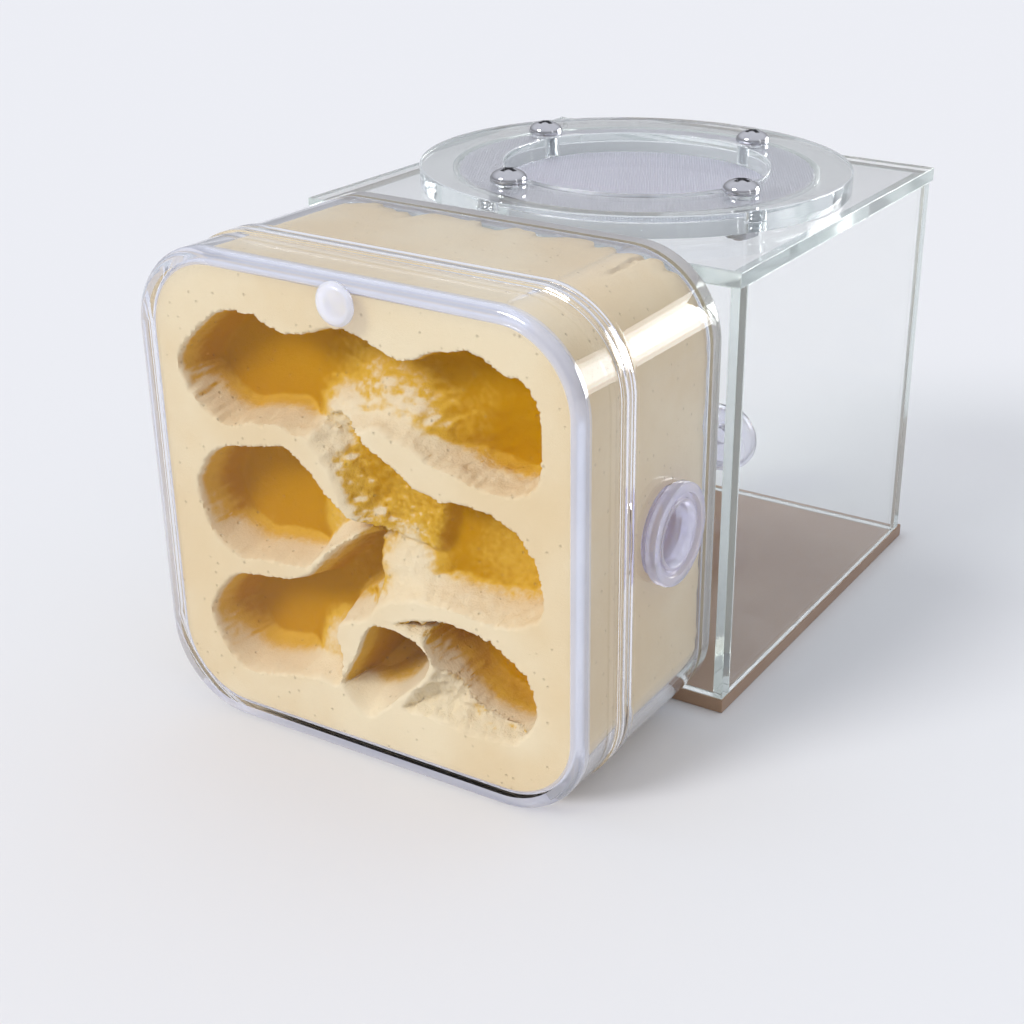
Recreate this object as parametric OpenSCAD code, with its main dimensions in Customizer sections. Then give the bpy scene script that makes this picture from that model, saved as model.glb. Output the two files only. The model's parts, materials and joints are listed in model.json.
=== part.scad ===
// Ant habitat: a carved gypsum nest in a clear box, joined by a short tube to
// a clear sheet arena with a round meshed lid.
// Millimetres, +Z up, nest towards -Y. Origin: middle of the arena's underside.

/* [Arena] */
// Width of the base and top plates
arena_w = 100; // [96:1:160]
// Depth of the base and top plates
arena_d = 100; // [96:1:160]
// Height of the four walls
wall_h = 87; // [70:1:140]
// Thickness of the four walls
wall_t = 3; // [2:0.5:4]
// Thickness of the base plate
base_t = 3; // [2:0.5:6]
// Thickness of the top plate
top_t = 3; // [2:0.5:4]
// Step from the plates' edge to the front and right walls
inset_near = 0.2; // [0.1:0.1:1.5]
// Step from the plates' edge to the back and left walls
inset_far = 1.8; // [0.5:0.1:3]

/* [Lid] */
// Diameter of the lid ring
lid_d = 93.5; // [86:0.5:98]
// Thickness of the lid ring
lid_t = 4.5; // [3:0.5:6]
// Diameter of the ring's central hole
vent_d = 57.5; // [40:0.5:58]
// Diameter of the locating ring and of the mesh
locator_d = 77.4; // [74:0.2:80]
// Thickness of the locating ring
locator_t = 3; // [2:0.5:5]
// Radial gap between the locating ring and the top plate's opening
locator_gap = 0.8; // [0.3:0.1:1.5]
// Thickness of the woven mesh
mesh_t = 0.5; // [0.3:0.1:1]

/* [Lid screws] */
// Number of lid screws
screw_count = 4; // [3:1:6]
// Turn of the screw circle from the +X axis
screw_turn = -22; // [-45:1:45]
// Diameter of the screw shank
shank_d = 4; // [3:0.5:4]
// Length of the screw below its head
shank_l = 12; // [12:0.5:16]
// Diameter of the screw head
head_d = 7.7; // [6:0.1:8]
// Height of the screw head
head_h = 2.9; // [2:0.1:3.5]
// Width of the nut across its flats
nut_flats = 7; // [6.5:0.5:7.5]
// Height of the nut
nut_h = 3.2; // [2:0.1:3.4]
// Radial gap between the shank and its holes
shank_gap = 0.15; // [0.1:0.05:0.3]
// Radial gap between the shank and its nut
thread_gap = 0.05; // [0.02:0.01:0.1]

/* [Nest box] */
// Width of the nest box
nest_w = 96.8; // [92:0.4:140]
// Height of the nest box
nest_h = 96.6; // [95:0.4:140]
// Depth of the nest box
nest_d = 50; // [48:1:80]
// Outer radius of the box's corners
corner_r = 17.5; // [12:0.5:20]
// Thickness of the box's window and side walls
nest_t = 2.4; // [2:0.1:3]
// Thickness of the box's back
nest_back_t = 3; // [2:0.1:4]
// Sideways step of the nest box from the arena's middle
nest_x = -1; // [-2:0.5:2]
// Gap between the nest box and the arena's front wall
nest_gap = 1.2; // [1.2:0.1:3]

/* [Nest seam] */
// Depth of the window shell before its collar starts
collar_start = 12; // [10:0.5:14]
// Length of the window shell's collar
collar_l = 4.1; // [3:0.1:5]
// Length of the housing's rim beyond the collar
rim_l = 1.8; // [1:0.1:3]
// How far collar and rim stand proud of the box
collar_proud = 0.4; // [0.3:0.1:1]
// Wall thickness of the housing's tongue inside the collar
tongue_t = 1.2; // [1:0.1:1.6]
// Gap between the tongue and the collar
tongue_gap = 0.3; // [0.2:0.05:0.4]

/* [Gypsum block] */
// Gap between the gypsum and the box
gypsum_gap = 0.3; // [0.2:0.05:0.6]
// Depth of the galleries
gallery_depth = 10; // [6:0.5:14]
// Depth of the galleries' steep outer part
gallery_wall = 6; // [4:0.5:6]
// Size of the galleries' floor as a share of their mouth
gallery_floor = 0.76; // [0.6:0.02:0.9]

/* [Ports] */
// Height of the link port and of the back port
port_z = 18.5; // [16:0.5:30]
// Diameter of a wall hole that takes a grommet or plug
port_d = 14; // [13.5:0.1:15]
// Bore of the grommets
grommet_bore = 11.6; // [11.2:0.1:12]
// Flange diameter of the side grommet
side_flange_d = 20; // [18:0.5:21]
// Flange height of the side grommet
side_flange_h = 2.3; // [1.5:0.1:4]
// Height of the side grommet above the ground
side_z = 48.5; // [40:0.5:56]
// Distance from the nest box's back to the side grommet
side_back = 19; // [17:0.5:20]
// Thickness of the side grommet's inner lip
inner_lip = 1.5; // [1:0.1:2]
// Reach of the grommets' lips past their wall holes
lip_reach = 1.5; // [1:0.1:2]
// Gap between a grommet's neck, or the tube, and its wall hole
neck_gap = 0.05; // [0.02:0.01:0.1]
// Depth of the blind recess behind the side grommet
side_recess = 7; // [5:0.5:12]
// Gap between the inner lip and the recess
recess_gap = 1; // [0.5:0.1:2]
// Corner radius of the recess
recess_r = 4; // [2:0.5:6]
// Flange diameter in the arena
arena_flange_d = 18; // [16:0.5:20]
// Flange height in the arena
arena_flange_h = 2; // [1.5:0.1:4]
// Thickness of the grommet lip in the gap between nest and arena
gap_lip = 0.8; // [0.4:0.1:0.9]
// Radial gap between the link tube and the arena's grommet
tube_gap = 0.2; // [0.15:0.05:0.3]
// Wall thickness of the link tube
tube_t = 1.2; // [0.8:0.1:1.6]
// How far the tube's end stays inside the arena grommet
tube_inset = 0.3; // [0.1:0.1:1]
// Diameter of the tunnel through the gypsum
tunnel_d = 9.4; // [8:0.2:10.4]

/* [Plugs] */
// Height of the back plug's dome
dome_h = 5; // [3:0.5:7]
// Radial gap around the plugs' shanks
plug_gap = 0.3; // [0.25:0.05:0.4]
// Head diameter of the window plug
button_d = 8; // [7:0.5:9]
// Head height of the window plug
button_h = 1.9; // [1:0.1:3]
// Shank diameter of the window plug
button_shank_d = 4.6; // [4:0.1:5]
// Reach of the shank past the window
button_tail = 1.4; // [0.5:0.1:2]
// Gap round and behind the shank's tip in the gypsum
well_gap = 0.8; // [0.5:0.1:1.2]
// Distance of the window plug below the box's top
button_drop = 5; // [4.5:0.1:7]
// Sideways step of the window plug from the box's middle
button_x = -1; // [-10:0.5:10]

/* [Hidden] */
$fn = 96;
CUT = 1;

// Arena planes
wall_x0 = -arena_w / 2 + inset_far;
wall_x1 = arena_w / 2 - inset_near;
wall_y0 = -arena_d / 2 + inset_near;
wall_y1 = arena_d / 2 - inset_far;
wall_z1 = base_t + wall_h;
plate_z1 = wall_z1 + top_t;
port_x = (wall_x0 + wall_x1) / 2;

// Lid planes
lid_z1 = plate_z1 + lid_t;
mesh_z0 = plate_z1 - mesh_t;
locator_z0 = mesh_z0 - locator_t;
opening_d = locator_d + 2 * locator_gap;
nut_z0 = locator_z0 - nut_h;
screw_circle_d = (vent_d + locator_d) / 2;

// Nest planes
nest_y1 = wall_y0 - nest_gap;
nest_y0 = nest_y1 - nest_d;
nest_z0 = collar_proud;
nest_z = nest_z0 + nest_h / 2;
collar_y0 = nest_y0 + collar_start;
seam_y = collar_y0 + collar_l;
rim_y1 = seam_y + rim_l;
cavity_y0 = nest_y0 + nest_t;
cavity_y1 = nest_y1 - nest_back_t;
collar_cut = tongue_t + tongue_gap;
block_y0 = cavity_y0 + gypsum_gap;
block_y1 = cavity_y1 - gypsum_gap;
block_inset = nest_t + gypsum_gap;
right_x = nest_x + nest_w / 2;
side_y = nest_y1 - side_back;
side_lip_d = port_d + 2 * lip_reach;
neck_d = port_d - 2 * neck_gap;
button_z = nest_z0 + nest_h - button_drop;
tube_d = grommet_bore - 2 * tube_gap;
tube_y0 = cavity_y1;
tube_y1 = wall_y0 + wall_t + arena_flange_h - tube_inset;

// Gallery mouths on the gypsum's front, seen from the front: x from the
// box's middle and z from its underside
UPPER = [[-40.5, 72], [-38, 78.5], [-33, 83], [-26, 85.5], [-19, 84], [-13, 83.5], [-6, 86],
         [1, 86], [7, 84], [12, 83], [18, 86], [25, 87], [32, 84.5], [37, 82], [39, 76],
         [38.5, 67], [34, 62.8], [27, 62.8], [18, 64.5], [11, 67], [5, 68.8], [-3, 67], [-11, 65],
         [-18, 65], [-26, 64], [-32, 62.8], [-37.5, 66.5]];
TUNNEL = [[-13, 66], [-4, 69], [3, 66], [8, 62.5], [12, 59.5], [18, 58], [20, 50], [11, 48],
          [2, 48.5], [-3, 51.5], [-6.5, 58.5], [-10.5, 62.5]];
MIDDLE_LEFT = [[-38.5, 47], [-37, 53], [-32, 57.8], [-24, 59.5], [-17, 61], [-12, 58.2],
               [-7, 52.8], [-1, 50], [5, 50.5], [7, 48], [0, 47], [-5, 44.8], [-11.5, 39.2],
               [-17, 37.2], [-24, 36.3], [-30, 35.6], [-35, 38.8]];
MIDDLE_RIGHT = [[1, 48], [9, 50], [14, 56], [21, 58.5], [28, 58], [35, 55], [39, 47], [38, 40],
                [32, 37], [22, 37], [12, 36.8], [5, 34.3], [0.5, 30.5], [-3, 33], [2, 38]];
LOWER_LEFT = [[-38, 20], [-36, 26.5], [-31, 31.8], [-23, 33], [-16, 34.5], [-10, 39], [-5, 44.5],
              [1, 47.5], [4, 42], [3.5, 37.5], [-1, 32.4], [-5.5, 28.5], [-8, 23], [-7, 15],
              [-11, 13.7], [-18, 12.6], [-28, 10.4], [-35, 13.2]];
HOLLOW = [[-6.5, 14], [-4, 19], [-1, 25.5], [2, 29], [8, 29.2], [13, 27.2], [14.2, 23.5],
          [10, 18], [5, 13], [0.4, 8.7], [-4, 10]];
LOWER_RIGHT = [[1, 30], [8, 31.5], [14, 33.5], [22, 34.2], [29, 32.6], [35, 29], [37.8, 21],
               [35.5, 15.5], [31, 12.6], [20, 12.4], [10, 13], [5, 12], [8, 17], [13, 23],
               [10, 27.5]];
GALLERIES = [UPPER, TUNNEL, MIDDLE_LEFT, MIDDLE_RIGHT, LOWER_LEFT, HOLLOW, LOWER_RIGHT];

// Points per span of a smoothed outline
SPAN = 4;

// Catmull-Rom point between p[i] and p[i + 1]
function spline(p, i, t) =
    let (n = len(p), a = p[(i + n - 1) % n], b = p[i % n], c = p[(i + 1) % n], d = p[(i + 2) % n])
    0.5 * (2 * b + (c - a) * t + (2 * a - 5 * b + 4 * c - d) * t * t
           + (3 * b - a - 3 * c + d) * t * t * t);

function smooth_loop(p) = [for (i = [0:len(p) - 1]) for (k = [0:SPAN - 1]) spline(p, i, k / SPAN)];

function middle(p) = [for (k = [0:1]) (min([for (q = p) q[k]]) + max([for (q = p) q[k]])) / 2];

// Outline with rounded corners, centred
module round_square(w, h, r) {
    square([w - 2 * r, h], center = true);
    square([w, h - 2 * r], center = true);
    for (sx = [-1, 1], sz = [-1, 1])
        translate([sx * (w / 2 - r), sz * (h / 2 - r)])
            circle(r);
}

// Rounded box along Y on the nest's axis, grown by g on every side
module nest_prism(y0, y1, g) {
    translate([nest_x, y1, nest_z])
        rotate([90, 0, 0])
            linear_extrude(y1 - y0)
                round_square(nest_w + 2 * g, nest_h + 2 * g, corner_r + g);
}

// Cylinder along Y
module bar_y(x, y0, y1, z, d) {
    translate([x, y0, z])
        rotate([-90, 0, 0])
            cylinder(d = d, h = y1 - y0);
}

// Cylinder along X
module bar_x(x0, x1, y, z, d) {
    translate([x0, y, z])
        rotate([0, 90, 0])
            cylinder(d = d, h = x1 - x0);
}

// Rounded square bar along X
module square_bar_x(x0, x1, y, z, w, r) {
    translate([x0, y, z])
        rotate([90, 0, 90])
            linear_extrude(x1 - x0)
                round_square(w, w, r);
}

// Domed button along Z: a spherical cap on a short rim
module domed_disc(d, h, rim) {
    cap = h - rim;
    ball = (d * d / 4 + cap * cap) / (2 * cap);
    cylinder(d = d, h = rim);
    intersection() {
        translate([0, 0, rim])
            cylinder(d = d, h = h);
        translate([0, 0, h - ball])
            sphere(ball);
    }
}

// Places its children at each lid screw
module at_screws() {
    for (i = [0:screw_count - 1])
        rotate([0, 0, screw_turn + i * 360 / screw_count])
            translate([screw_circle_d / 2, 0, 0])
                children();
}

// Arena ------------------------------------------------------------------

module base_plate() {
    color([0.55, 0.44, 0.36])
        translate([-arena_w / 2, -arena_d / 2, 0])
            cube([arena_w, arena_d, base_t]);
}

module cross_wall(y0) {
    difference() {
        translate([wall_x0, y0, base_t])
            cube([wall_x1 - wall_x0, wall_t, wall_h]);
        bar_y(port_x, y0 - CUT, y0 + wall_t + CUT, port_z, port_d);
    }
}

module side_wall(x0) {
    translate([x0, wall_y0 + wall_t, base_t])
        cube([wall_t, wall_y1 - wall_y0 - 2 * wall_t, wall_h]);
}

module front_wall() {
    color([0.8, 0.86, 0.86, 0.4])
        cross_wall(wall_y0);
}

module back_wall() {
    color([0.8, 0.86, 0.86, 0.4])
        cross_wall(wall_y1 - wall_t);
}

module left_wall() {
    color([0.8, 0.86, 0.86, 0.4])
        side_wall(wall_x0);
}

module right_wall() {
    color([0.8, 0.86, 0.86, 0.4])
        side_wall(wall_x1 - wall_t);
}

module top_plate() {
    color([0.8, 0.86, 0.86, 0.4])
        difference() {
            translate([-arena_w / 2, -arena_d / 2, wall_z1])
                cube([arena_w, arena_d, top_t]);
            translate([0, 0, wall_z1 - CUT])
                cylinder(d = opening_d, h = top_t + 2 * CUT);
        }
}

// Soft sleeve round the link: a lip in the gap, a neck in the wall and a
// rounded flange inside the arena
module arena_grommet() {
    inner_y = wall_y0 + wall_t;
    color([0.86, 0.86, 0.95])
        difference() {
            union() {
                bar_y(port_x, wall_y0 - gap_lip, wall_y0, port_z, port_d + 2 * lip_reach);
                bar_y(port_x, wall_y0, inner_y, port_z, neck_d);
                translate([port_x, inner_y, port_z])
                    rotate([-90, 0, 0])
                        domed_disc(arena_flange_d, arena_flange_h, arena_flange_h / 2);
            }
            bar_y(port_x, wall_y0 - gap_lip - CUT, inner_y + arena_flange_h + CUT, port_z,
                  grommet_bore);
        }
}

// Stopper in the back port, its dome inside the arena
module back_plug() {
    inner_y = wall_y1 - wall_t;
    color([0.86, 0.86, 0.95]) {
        translate([port_x, inner_y, port_z])
            rotate([90, 0, 0])
                domed_disc(arena_flange_d, dome_h, dome_h * 0.3);
        bar_y(port_x, inner_y, wall_y1, port_z, port_d - 2 * plug_gap);
    }
}

// Lid --------------------------------------------------------------------

module lid_layer(z0, z1, d, hole) {
    difference() {
        translate([0, 0, z0])
            cylinder(d = d, h = z1 - z0);
        if (hole > 0)
            translate([0, 0, z0 - CUT])
                cylinder(d = hole, h = z1 - z0 + 2 * CUT);
        at_screws()
            translate([0, 0, z0 - CUT])
                cylinder(d = shank_d + 2 * shank_gap, h = z1 - z0 + 2 * CUT);
    }
}

module lid_ring() {
    color([0.8, 0.85, 0.87, 0.5])
        lid_layer(plate_z1, lid_z1, lid_d, vent_d);
}

module lid_mesh() {
    color([0.75, 0.75, 0.82])
        lid_layer(mesh_z0, plate_z1, locator_d, 0);
}

module lid_locating_ring() {
    color([0.8, 0.85, 0.87, 0.5])
        lid_layer(locator_z0, mesh_z0, locator_d, vent_d);
}

// Domed head with a cross recess, on a plain shank
module lid_screws() {
    slot_w = head_d / 7;
    slot_l = head_d * 0.56;
    slot_h = head_h * 0.5;
    color([0.85, 0.85, 0.87])
        at_screws() {
            difference() {
                translate([0, 0, lid_z1])
                    domed_disc(head_d, head_h, head_h * 0.3);
                for (turn = [0, 90])
                    rotate([0, 0, turn + 30])
                        translate([-slot_l / 2, -slot_w / 2, lid_z1 + head_h - slot_h])
                            cube([slot_l, slot_w, slot_h + CUT]);
            }
            translate([0, 0, lid_z1 - shank_l])
                cylinder(d = shank_d, h = shank_l);
        }
}

module lid_nuts() {
    color([0.72, 0.72, 0.74])
        at_screws()
            translate([0, 0, nut_z0])
                difference() {
                    cylinder(d = nut_flats / cos(30), h = nut_h, $fn = 6);
                    translate([0, 0, -CUT])
                        cylinder(d = shank_d + 2 * thread_gap, h = nut_h + 2 * CUT);
                }
}

// Nest -------------------------------------------------------------------

// Front shell: window, side walls and the collar that slips over the housing
module nest_window() {
    color([0.88, 0.9, 0.98, 0.4])
        difference() {
            union() {
                nest_prism(nest_y0, collar_y0, 0);
                nest_prism(collar_y0, seam_y, collar_proud);
            }
            nest_prism(cavity_y0, seam_y + CUT, -nest_t);
            nest_prism(collar_y0 + nest_t, seam_y + CUT, collar_cut - nest_t);
            bar_y(nest_x + button_x, nest_y0 - CUT, cavity_y0 + CUT, button_z,
                  button_shank_d + 2 * plug_gap);
        }
}

// Rear shell: tongue, proud rim, side walls and back with its link port
module nest_housing() {
    color([0.88, 0.9, 0.98, 0.4])
        difference() {
            union() {
                nest_prism(collar_y0 + nest_t + tongue_gap, seam_y, tongue_t - nest_t);
                nest_prism(seam_y, rim_y1, collar_proud);
                nest_prism(rim_y1, nest_y1, 0);
            }
            nest_prism(collar_y0, cavity_y1, -nest_t);
            bar_y(port_x, cavity_y1 - CUT, nest_y1 + CUT, port_z, tube_d + 2 * neck_gap);
            bar_x(right_x - nest_t - CUT, right_x + CUT, side_y, side_z, port_d);
        }
}

// One gallery: its mouth's outline, then a smaller and deeper floor
module gallery(outline) {
    loop = smooth_loop(outline);
    mid = middle(outline);
    translate([0, gallery_wall, 0])
        rotate([90, 0, 0])
            linear_extrude(gallery_wall + CUT)
                polygon(loop);
    translate([mid[0], gallery_depth, mid[1]])
        rotate([90, 0, 0])
            linear_extrude(gallery_depth)
                scale(gallery_floor)
                    translate(-mid)
                        polygon(loop);
}

module gypsum_block() {
    color([0.9, 0.82, 0.65])
        difference() {
            nest_prism(block_y0, block_y1, -block_inset);
            translate([nest_x, block_y0, nest_z0])
                for (outline = GALLERIES)
                    gallery(outline);
            bar_y(port_x, block_y0 + gallery_wall, block_y1 + CUT, port_z, tunnel_d);
            square_bar_x(right_x - nest_t - side_recess, right_x, side_y, side_z,
                         side_lip_d + 2 * recess_gap, recess_r);
            bar_y(nest_x + button_x, block_y0 - CUT, cavity_y0 + button_tail + well_gap, button_z,
                  button_shank_d + 2 * well_gap);
        }
}

// Open grommet in the housing's right side
module side_grommet() {
    inner_x = right_x - nest_t;
    color([0.84, 0.84, 0.95])
        difference() {
            union() {
                bar_x(inner_x - inner_lip, inner_x, side_y, side_z, side_lip_d);
                bar_x(inner_x, right_x, side_y, side_z, neck_d);
                bar_x(right_x, right_x + side_flange_h, side_y, side_z, side_flange_d);
            }
            bar_x(inner_x - inner_lip - CUT, right_x + side_flange_h + CUT, side_y, side_z,
                  grommet_bore);
        }
}

// Clear tube from the nest's back through the arena's front wall
module link_tube() {
    color([0.85, 0.9, 0.95, 0.5])
        difference() {
            bar_y(port_x, tube_y0, tube_y1, port_z, tube_d);
            bar_y(port_x, tube_y0 - CUT, tube_y1 + CUT, port_z, tube_d - 2 * tube_t);
        }
}

// Small stopper of the watering hole in the window
module window_plug() {
    color([0.9, 0.9, 1])
        translate([nest_x + button_x, nest_y0, button_z]) {
            rotate([90, 0, 0])
                domed_disc(button_d, button_h, button_h * 0.6);
            bar_y(0, 0, nest_t + button_tail, 0, button_shank_d);
        }
}

base_plate();
front_wall();
back_wall();
left_wall();
right_wall();
top_plate();
arena_grommet();
back_plug();
lid_ring();
lid_mesh();
lid_locating_ring();
lid_screws();
lid_nuts();
nest_window();
nest_housing();
gypsum_block();
side_grommet();
link_tube();
window_plug();
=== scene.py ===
"""Looks of an ant habitat: a carved gypsum nest in a clear box beside a clear, lidded arena.

Sizes are in millimetres in the code and in metres in the meshes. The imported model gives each
piece's place, and every piece built here stands for its node or dresses it.
"""

import json
import logging
import math
from dataclasses import dataclass
from enum import Enum
from typing import Any, Sequence

import bmesh
import bpy
import numpy as np
from mathutils import Matrix, Vector

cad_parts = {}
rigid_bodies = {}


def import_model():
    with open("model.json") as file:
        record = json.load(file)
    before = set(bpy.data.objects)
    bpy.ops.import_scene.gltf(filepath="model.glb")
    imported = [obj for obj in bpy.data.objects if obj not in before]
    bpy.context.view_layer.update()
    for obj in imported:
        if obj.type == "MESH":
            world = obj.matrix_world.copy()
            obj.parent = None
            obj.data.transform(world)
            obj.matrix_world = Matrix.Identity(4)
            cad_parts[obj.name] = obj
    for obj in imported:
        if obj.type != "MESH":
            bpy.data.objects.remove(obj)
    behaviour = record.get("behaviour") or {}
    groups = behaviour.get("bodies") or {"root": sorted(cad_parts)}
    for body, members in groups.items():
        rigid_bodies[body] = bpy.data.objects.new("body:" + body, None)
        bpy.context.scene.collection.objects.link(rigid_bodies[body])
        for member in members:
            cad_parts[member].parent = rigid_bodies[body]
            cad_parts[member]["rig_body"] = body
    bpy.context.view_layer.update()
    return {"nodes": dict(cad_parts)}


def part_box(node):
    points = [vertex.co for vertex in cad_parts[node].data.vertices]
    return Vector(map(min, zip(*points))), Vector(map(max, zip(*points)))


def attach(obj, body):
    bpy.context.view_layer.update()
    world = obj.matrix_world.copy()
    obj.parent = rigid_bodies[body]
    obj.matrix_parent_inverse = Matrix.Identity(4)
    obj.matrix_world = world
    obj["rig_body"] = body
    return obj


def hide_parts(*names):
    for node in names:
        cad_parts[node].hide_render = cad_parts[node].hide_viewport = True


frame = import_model()
LOG = logging.getLogger("habitat")
MM = 0.001
Pair = tuple[float, float]
Triple = tuple[float, float, float]
Loop = list[Pair]
SAME_PLACE = 1e-7
FLAT = 0.99
SQUARE_EDGE = 1.0


# Node trees -------------------------------------------------------------------------------


def add_node(tree: bpy.types.NodeTree, kind: str, settings: dict | None = None,
             inputs: dict | None = None, output: int | str = 0) -> bpy.types.NodeSocket:
    """Adds a node to a tree.

    Args:
        tree: The tree.
        kind: The node's type.
        settings: Its properties, set before its sockets.
        inputs: Values or links of its sockets, by index or name; a colour needs no alpha.
        output: Which output to return.

    Returns:
        The chosen output.
    """
    made = tree.nodes.new(kind)
    for key, setting in (settings or {}).items():
        setattr(made, key, setting)
    for key, value in (inputs or {}).items():
        socket = made.inputs[key]
        source = value.socket if isinstance(value, Value) else value
        if isinstance(source, bpy.types.NodeSocket):
            tree.links.new(source, socket)
        elif socket.type == "RGBA":
            socket.default_value = (*source, 1.0)
        else:
            socket.default_value = source
    return made.outputs[output]


class Value:
    """One output socket of a shader tree; Python's operators add its Math nodes."""

    def __init__(self, recipe: "Recipe", socket: bpy.types.NodeSocket) -> None:
        """Wraps a socket.

        Args:
            recipe: The tree that the socket belongs to.
            socket: The output socket.
        """
        self.recipe = recipe
        self.socket = socket

    def _math(self, operation: str, first: Any, second: Any = 0.0) -> "Value":
        """Adds one Math node and returns its result."""
        return self.recipe.node("ShaderNodeMath", {"operation": operation}, {0: first, 1: second})

    def __add__(self, other: Any) -> "Value":
        """Adds."""
        return self._math("ADD", self, other)

    def __sub__(self, other: Any) -> "Value":
        """Subtracts."""
        return self._math("SUBTRACT", self, other)

    def __rsub__(self, other: Any) -> "Value":
        """Subtracts from a number."""
        return self._math("SUBTRACT", other, self)

    def __mul__(self, other: Any) -> "Value":
        """Multiplies."""
        return self._math("MULTIPLY", self, other)

    __radd__ = __add__
    __rmul__ = __mul__

    def above(self, other: Any) -> "Value":
        """Gives 1 where the value is above the other, and 0 elsewhere."""
        return self._math("GREATER_THAN", self, other)

    def most(self, other: Any) -> "Value":
        """Takes the larger of two values."""
        return self._math("MAXIMUM", self, other)

    def ramp(self, low: float, high: float) -> "Value":
        """Maps low to 0 and high to 1, smoothly, and clamps."""
        settings = {"interpolation_type": "SMOOTHSTEP"}
        return self.recipe.node("ShaderNodeMapRange", settings, {0: self, 1: low, 2: high})


class Recipe:
    """Builds one material's node tree."""

    def __init__(self, name: str) -> None:
        """Starts an empty material.

        Args:
            name: The material's name.
        """
        self.material = bpy.data.materials.new(name)
        self.material.use_nodes = True
        self.tree = self.material.node_tree
        self.tree.nodes.clear()

    def node(self, kind: str, settings: dict | None = None, inputs: dict | None = None,
             output: int | str = 0) -> Value:
        """Adds a node and wraps its output; the arguments are those of add_node."""
        return Value(self, add_node(self.tree, kind, settings, inputs, output))

    def place(self) -> Value:
        """Gives Object coordinates."""
        return self.node("ShaderNodeTexCoord", output="Object")

    def noise(self, scale: float, detail: float = 3.0, roughness: float = 0.55,
              stretch: Triple = (1.0, 1.0, 1.0)) -> Value:
        """Gives fractal noise about 0.5.

        Args:
            scale: Features per metre.
            detail: Octaves.
            roughness: Weight of the finer octaves.
            stretch: Scale along each axis.

        Returns:
            The noise's value.
        """
        vector = self.node("ShaderNodeMapping", None, {"Vector": self.place(), "Scale": stretch})
        inputs = {"Vector": vector, "Scale": scale, "Detail": detail, "Roughness": roughness}
        return self.node("ShaderNodeTexNoise", None, inputs)

    def mix(self, factor: Any, first: Any, second: Any) -> Value:
        """Mixes two colours."""
        return self.node("ShaderNodeMix", {"data_type": "RGBA"},
                         {0: factor, 6: first, 7: second}, 2)

    def written(self, name: str) -> Value:
        """Gives an attribute of the mesh."""
        return self.node("ShaderNodeAttribute", {"attribute_name": name}, None, "Fac")

    def bump(self, height: Value, depth: float) -> Value:
        """Gives a normal from a height, of which 1 measures the depth in metres."""
        return self.node("ShaderNodeBump", None, {"Height": height, "Distance": depth})

    def principled(self, sockets: dict) -> Value:
        """Adds a Principled shader."""
        return self.node("ShaderNodeBsdfPrincipled", None, sockets)

    def let_light_through(self, shader: Value, tint: Triple,
                          mirrors: float = 2.5, bounces: float = 9.0) -> Value:
        """Lets shadow, diffuse and often turned rays pass straight through a clear shader.

        Args:
            shader: The clear shader.
            tint: What colour the light that passes takes.
            mirrors: Rays that were mirrored more often than this pass straight through.
            bounces: So do rays that have turned more often than this.

        Returns:
            The mixed shader.
        """
        shadow = self.node("ShaderNodeLightPath", output="Is Shadow Ray")
        diffuse = self.node("ShaderNodeLightPath", output="Is Diffuse Ray")
        turns = self.node("ShaderNodeLightPath", output="Ray Depth")
        crossings = self.node("ShaderNodeLightPath", output="Transmission Depth")
        tired = (turns - crossings).above(mirrors).most(turns.above(bounces))
        straight = shadow.most(diffuse).most(tired)
        passing = self.node("ShaderNodeBsdfTransparent", None, {"Color": tint})
        return self.node("ShaderNodeMixShader", None, {0: straight, 1: shader, 2: passing})

    def done(self, shader: Value) -> bpy.types.Material:
        """Links the surface and returns the material.

        Args:
            shader: The shader of the whole surface.

        Returns:
            The finished material.
        """
        output = self.tree.nodes.new("ShaderNodeOutputMaterial")
        self.tree.links.new(shader.socket, output.inputs["Surface"])
        return self.material


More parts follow.
